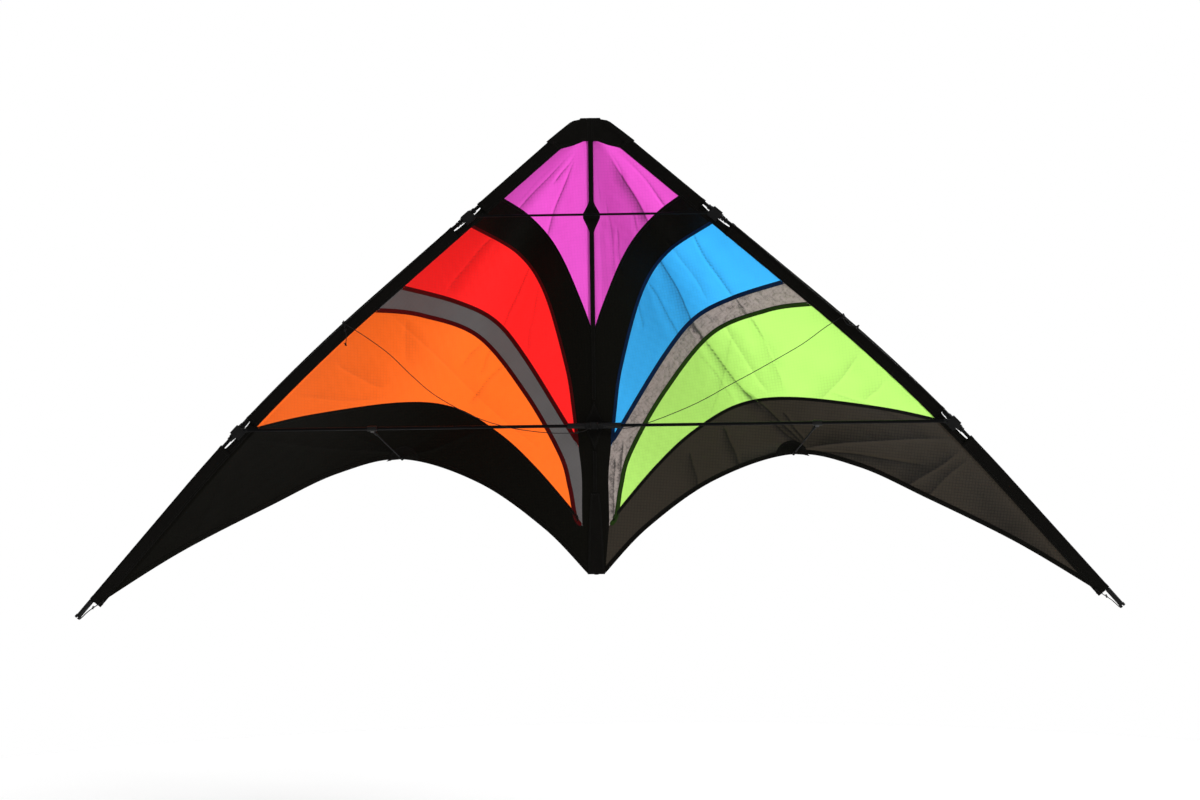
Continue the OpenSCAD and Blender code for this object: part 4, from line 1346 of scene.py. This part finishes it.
def outline_row(outline, by, lift, front=True):
    """A stitch line inside an outline, just proud of the surface."""
    dense = []
    ring = inset(outline, by)
    for a, b in zip(ring[:-1], ring[1:]):
        steps = max(1, int(np.linalg.norm(b - a) / 4))
        dense += [a + (b - a) * k / steps for k in range(steps)]
    dense.append(ring[-1])
    sign = -1 if front else 1
    line = np.array([(x, lift(x, z) + sign * 0.12, z) for x, z in dense]) * MM
    return line, np.tile([0.0, float(sign), 0.0], (len(line), 1))


def arc_points(centre, radius, start, end, count):
    return [(centre[0] + radius * math.cos(a), centre[1] + radius * math.sin(a))
            for a in np.radians(np.linspace(start, end, count))]


# %% Diamonds, tail patch and spine tape


def diamond_outline(half_w, half_h, z):
    half = [(0, half_h), (0.45 * half_w, 0.52 * half_h), (half_w, 0.12 * half_h),
            (half_w * 0.97, -0.08 * half_h), (0.42 * half_w, -0.55 * half_h), (0, -half_h)]
    ring = half + [(-x, h) for x, h in half[-2:0:-1]]
    return [(x, z + h) for x, h in ring]


def flat_at(y):
    return lambda x, z: y


TAPE_FRONT, PATCH_FRONT, DIAMOND_FRONT = -0.75, -1.2, -1.6
TAIL_OUTLINE = [(-8, -646), (8, -646), (11, -680), (13, -720), (15, -786), (-15, -786),
                (-13, -720), (-11, -680)]
COLUMN_PATCHES = {
    "upper_diamond": (diamond_outline(15, 37, UPPER_Z - 3), DIAMOND_FRONT),
    "lower_diamond": (diamond_outline(18, 43, LOWER_Z), DIAMOND_FRONT),
    "tail_patch": (TAIL_OUTLINE, PATCH_FRONT),
}
column_rows = []
for name, (outline, front) in COLUMN_PATCHES.items():
    patch = cut_patch(name + "_cloth", outline, flat_at(front), 0.5, patch_cloth)
    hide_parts(name)
    settle(patch, "root")
    column_rows += [outline_row(outline, by, flat_at(front)) for by in (1.6, 3.4)]

for k, (top, bottom) in enumerate(((-30, -486), (-574, -645))):
    outline = [(-3.6, top), (3.6, top), (3.6, bottom), (-3.6, bottom)]
    tape = cut_patch(f"spine_tape_cloth_{k}", outline, flat_at(TAPE_FRONT), 0.45, patch_cloth, 8)
    if k == 0:
        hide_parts("spine_tape")
    settle(tape, "root")
    column_rows.append(outline_row(outline, 1.2, flat_at(TAPE_FRONT)))
column_stitches = sew("column_stitches", column_rows, slant=0.35)
settle(column_stitches, "root")

# %% Stand-off patches
STANDOFF_OUTLINE = ([(313, -591)] + arc_points((345, -592), 29, 172, 8, 13) + [(377, -591)]
                    + [(366, -588.4), (345, -586.8), (324, -588.4)])
for side in SIGN:
    def patch_lift(x, z, side=side):
        return float(surface(np.array([[abs(x), z]]), side, -0.95)[0][0, 1] / MM)
    ring = [(SIGN[side] * x, z) for x, z in STANDOFF_OUTLINE]
    patch = cut_patch("standoff_patch_cloth_" + side, ring, patch_lift, 0.5, patch_cloth)
    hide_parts("standoff_patch_" + side)
    gather(patch)
    rows = sew("standoff_patch_stitches_" + side,
               [outline_row(ring, by, patch_lift) for by in (2, 4)])
    gather(rows)

# %% Nose webbing
WEB_HALF = [(0, -40), (12, -40), (30, -47), (50, -52), (76, -40), (70.5, -35.6), (56, -24), (35, -8),
            (28.5, -4.6), (18.5, -2.6), (17, -0.6), (0, 0)]
WEB_THICK = 1.1


def beside_rod(x, z):
    """How far a point is along the straight rod from its pivot, and out from the rod."""
    dx, dz = abs(x) - PIVOT[0], z - PIVOT[2]
    return dx * math.cos(LEAN) - dz * math.sin(LEAN), dx * math.sin(LEAN) + dz * math.cos(LEAN)


def web_bulge(x, z):
    """Height of the webbing over a leading-edge rod and its cap: 1 over them, 0 elsewhere."""
    beyond, off_rod = beside_rod(x, z)
    along = 1 / (1 + math.exp(-(beyond + 7) / 2.2))
    over_rod = along * math.exp(-(off_rod / 6.5) ** 4)
    over_cap = math.exp(-(math.hypot(beyond, off_rod) / 8) ** 6)
    return max(over_rod, over_cap)


def web_front_y(x, z):
    return -1.7 - 3.8 * web_bulge(x, z) - 0.15 * math.sin(x / 7) * math.sin(z / 6)


def web_back_y(x, z):
    over_spine = math.exp(-(x / 6.5) ** 4) / (1 + math.exp((z + 9) / 1.6))
    return 1.2 + 3.6 * web_bulge(x, z) + 7.2 * over_spine


def web_outer_y(x, z):
    return web_back_y(x, z) + WEB_THICK


def bend_webbing(obj):
    """The share by which the webbing would turn with the rod below its pivot, and stay with the spine
    above it, is worked out; gather() does not use it.
    """
    points = np.array([v.co for v in obj.data.vertices]) / MM
    x, z = np.abs(points[:, 0]), points[:, 2]
    t = np.clip((beside_rod(x, z)[0] + 12) / 14, 0, 1)
    gather(obj, fold_share(x, z) * t * t * (3 - 2 * t))


for side in SIGN:
    half = mirrored([(x, 0, z) for x, z in WEB_HALF], side)
    half = [(p[0], p[2]) for p in half]
    layers = {"front": web_front_y, "back": web_back_y}
    for layer, lift in layers.items():
        web = cut_patch(f"nose_webbing_{layer}_{side}", half, lift, WEB_THICK, webbing_cloth, 2.2)
        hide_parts("nose_webbing")
        bend_webbing(web)
    rows = [outline_row(half, 2.2, web_front_y), outline_row(half, 4.8, web_front_y),
            outline_row(half, 2.2, web_outer_y, False)]
    rows = [(line[1:], out[1:]) for line, out in rows]
    web_stitches = sew("nose_stitches_" + side, rows, slant=0.4)
    bend_webbing(web_stitches)


def web_fold():
    """The folded top edge, a half-round strip that joins the two layers."""
    points, faces = [], []
    middle, reach = 0.1, 2.0
    xs = np.linspace(-17, 17, 18)
    steps = np.radians(np.linspace(0, 180, 9))
    for x in xs:
        for r in (1.0, 0.45):
            for a in steps:
                points.append((x, middle - reach * r * math.cos(a), -1.2 + 1.2 * r * math.sin(a)))
    m = len(steps)
    for i in range(len(xs) - 1):
        for k in range(m - 1):
            a, b = i * 2 * m + k, (i + 1) * 2 * m + k
            faces += [(a, a + 1, b + 1, b), (a + m, b + m, b + m + 1, a + m + 1)]
        for k in (0, m - 1):
            a, b = i * 2 * m + k, (i + 1) * 2 * m + k
            faces.append((a, b, b + m, a + m))
    for i in (0, len(xs) - 1):
        faces += [(i * 2 * m + k, i * 2 * m + k + 1, i * 2 * m + m + k + 1, i * 2 * m + m + k)
                  for k in range(m - 1)]
    return face_outwards(new_piece("nose_webbing_fold", [np.array(p) * MM for p in points], faces,
                                   webbing_cloth))


top_fold = web_fold()
settle(top_fold, "root")

# %% [markdown]
# ## Spine sleeve
# Behind the sail the spine runs in its own sleeve: a strip of cloth bowed over the rod, with
# a flange sewn down on each side. It is open at the centre, where the cross sits on the rod.

# %% Spine sleeve
SPINE_Y = 4.5
SPINE_SLEEVE_R = 3.85
FLANGE = 4.3


def omega():
    """[x, y] of the bowed strip's middle line, from one flange to the other."""
    arch = [(SPINE_SLEEVE_R * math.sin(a), SPINE_Y - SPINE_SLEEVE_R * math.cos(a))
            for a in np.radians(np.linspace(-48, -312, 19))]
    half = [(-FLANGE, 0.75), (-FLANGE + 0.9, 0.8)]
    return np.array(half + arch + [(-x, y) for x, y in half[::-1]])


def spine_sleeve_part(z0, z1):
    line = omega()
    ahead = np.gradient(line, axis=0)
    ahead = ahead / np.linalg.norm(ahead, axis=1)[:, None]
    normal = np.column_stack([-ahead[:, 1], ahead[:, 0]])
    count = int(abs(z1 - z0) / 7)
    m = len(line)
    loops = []
    for i, z in enumerate(np.linspace(z0, z1, count)):
        wave = 0.12 * math.sin(z / 9) + 0.08 * math.sin(z / 3.7)
        outer = line + normal * (0.25 + wave * 0.5)
        inner = line - normal * 0.2
        loops += [(x, y, z) for x, y in outer] + [(x, y, z) for x, y in inner[::-1]]
    faces = grid_faces(count, 2 * m, closed=True)
    for row in (0, (count - 1) * 2 * m):
        faces += [(row + k, row + k + 1, row + 2 * m - 2 - k, row + 2 * m - 1 - k) for k in range(m - 1)]
    return [np.array(p) for p in loops], faces


points, faces = joined([spine_sleeve_part(-29, LOWER_Z + 34),
                        spine_sleeve_part(LOWER_Z - 34, -735)])
spine_sleeve = face_outwards(new_piece("spine_sleeve_cloth", [p * MM for p in points], faces,
                                       sleeve_cloth))
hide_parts("spine_sleeve")
settle(spine_sleeve, "root")
flange_rows = []
for x in (-3.6, 3.6):
    for z0, z1 in ((-32, LOWER_Z + 36), (LOWER_Z - 36, -733)):
        z = np.arange(z1, z0, 10)
        line = np.column_stack([np.full_like(z, x), np.full_like(z, 1.2), z]) * MM
        flange_rows.append((line, np.tile([0.0, 1.0, 0.0], (len(z), 1))))
flange_stitches = sew("spine_sleeve_stitches", flange_rows)
settle(flange_stitches, "root")

# %% [markdown]
# ## Tip lines
# The sail is pulled out to the wing tip by a short line, tied through its corner and hooked
# in the slot of the nock on the rod's end.

# %% Tip lines
NOCK_SLOT = SLEEVE_END + 1.5 + 37.5
TIP_HALF = [(SLEEVE_END - 12, -16, 2.6), (SLEEVE_END + 2, -12, 3.2), (SLEEVE_END + 20, -7.4, 3.0),
            (NOCK_SLOT - 4, -5.8, 2.0)]
TIP_LOOP = [(at, out, -y) for at, out, y in TIP_HALF] + [(NOCK_SLOT, -5.2, 0)] + TIP_HALF[::-1]
for side in SIGN:
    route = spline(mirrored([wing_point(*place) for place in TIP_LOOP], side), 8)
    tip_line = cord_piece("tip_line_" + side, [route])
    tip_knot = cord_piece("tip_knots_" + side, [
        mirrored(trefoil(wing_point(SLEEVE_END - 12, -16, -3.0), 0.8), side),
        mirrored(trefoil(wing_point(SLEEVE_END + 9, -9.6, 0), 2.0), side)], closed=True)
    for piece in (tip_line, tip_knot):
        settle(piece, "wing_" + side)

# %% [markdown]
# ## Floor
# A pale disc far below the wing tips stands for the studio floor.

# %% Floor
FLOOR_Z = -1.33
FLOOR_R = 2.3


def make_floor():
    r = Recipe("studio_floor")
    cloud = r.noise(r.place(), 2.5, 3)
    paint = r.mix(cloud, (0.95, 0.95, 0.95, 1), (0.99, 0.99, 0.99, 1))
    body = r.node("ShaderNodeBsdfPrincipled", sockets={
        "Base Color": paint, "Roughness": 0.7 + cloud * 0.2})
    material = r.finish(body)
    ring = [(FLOOR_R * math.cos(a), FLOOR_R * math.sin(a), FLOOR_Z)
            for a in np.linspace(0, 2 * math.pi, 97)[:-1]]
    new_piece("floor", ring, [tuple(range(96))], material, smooth=False)


make_floor()
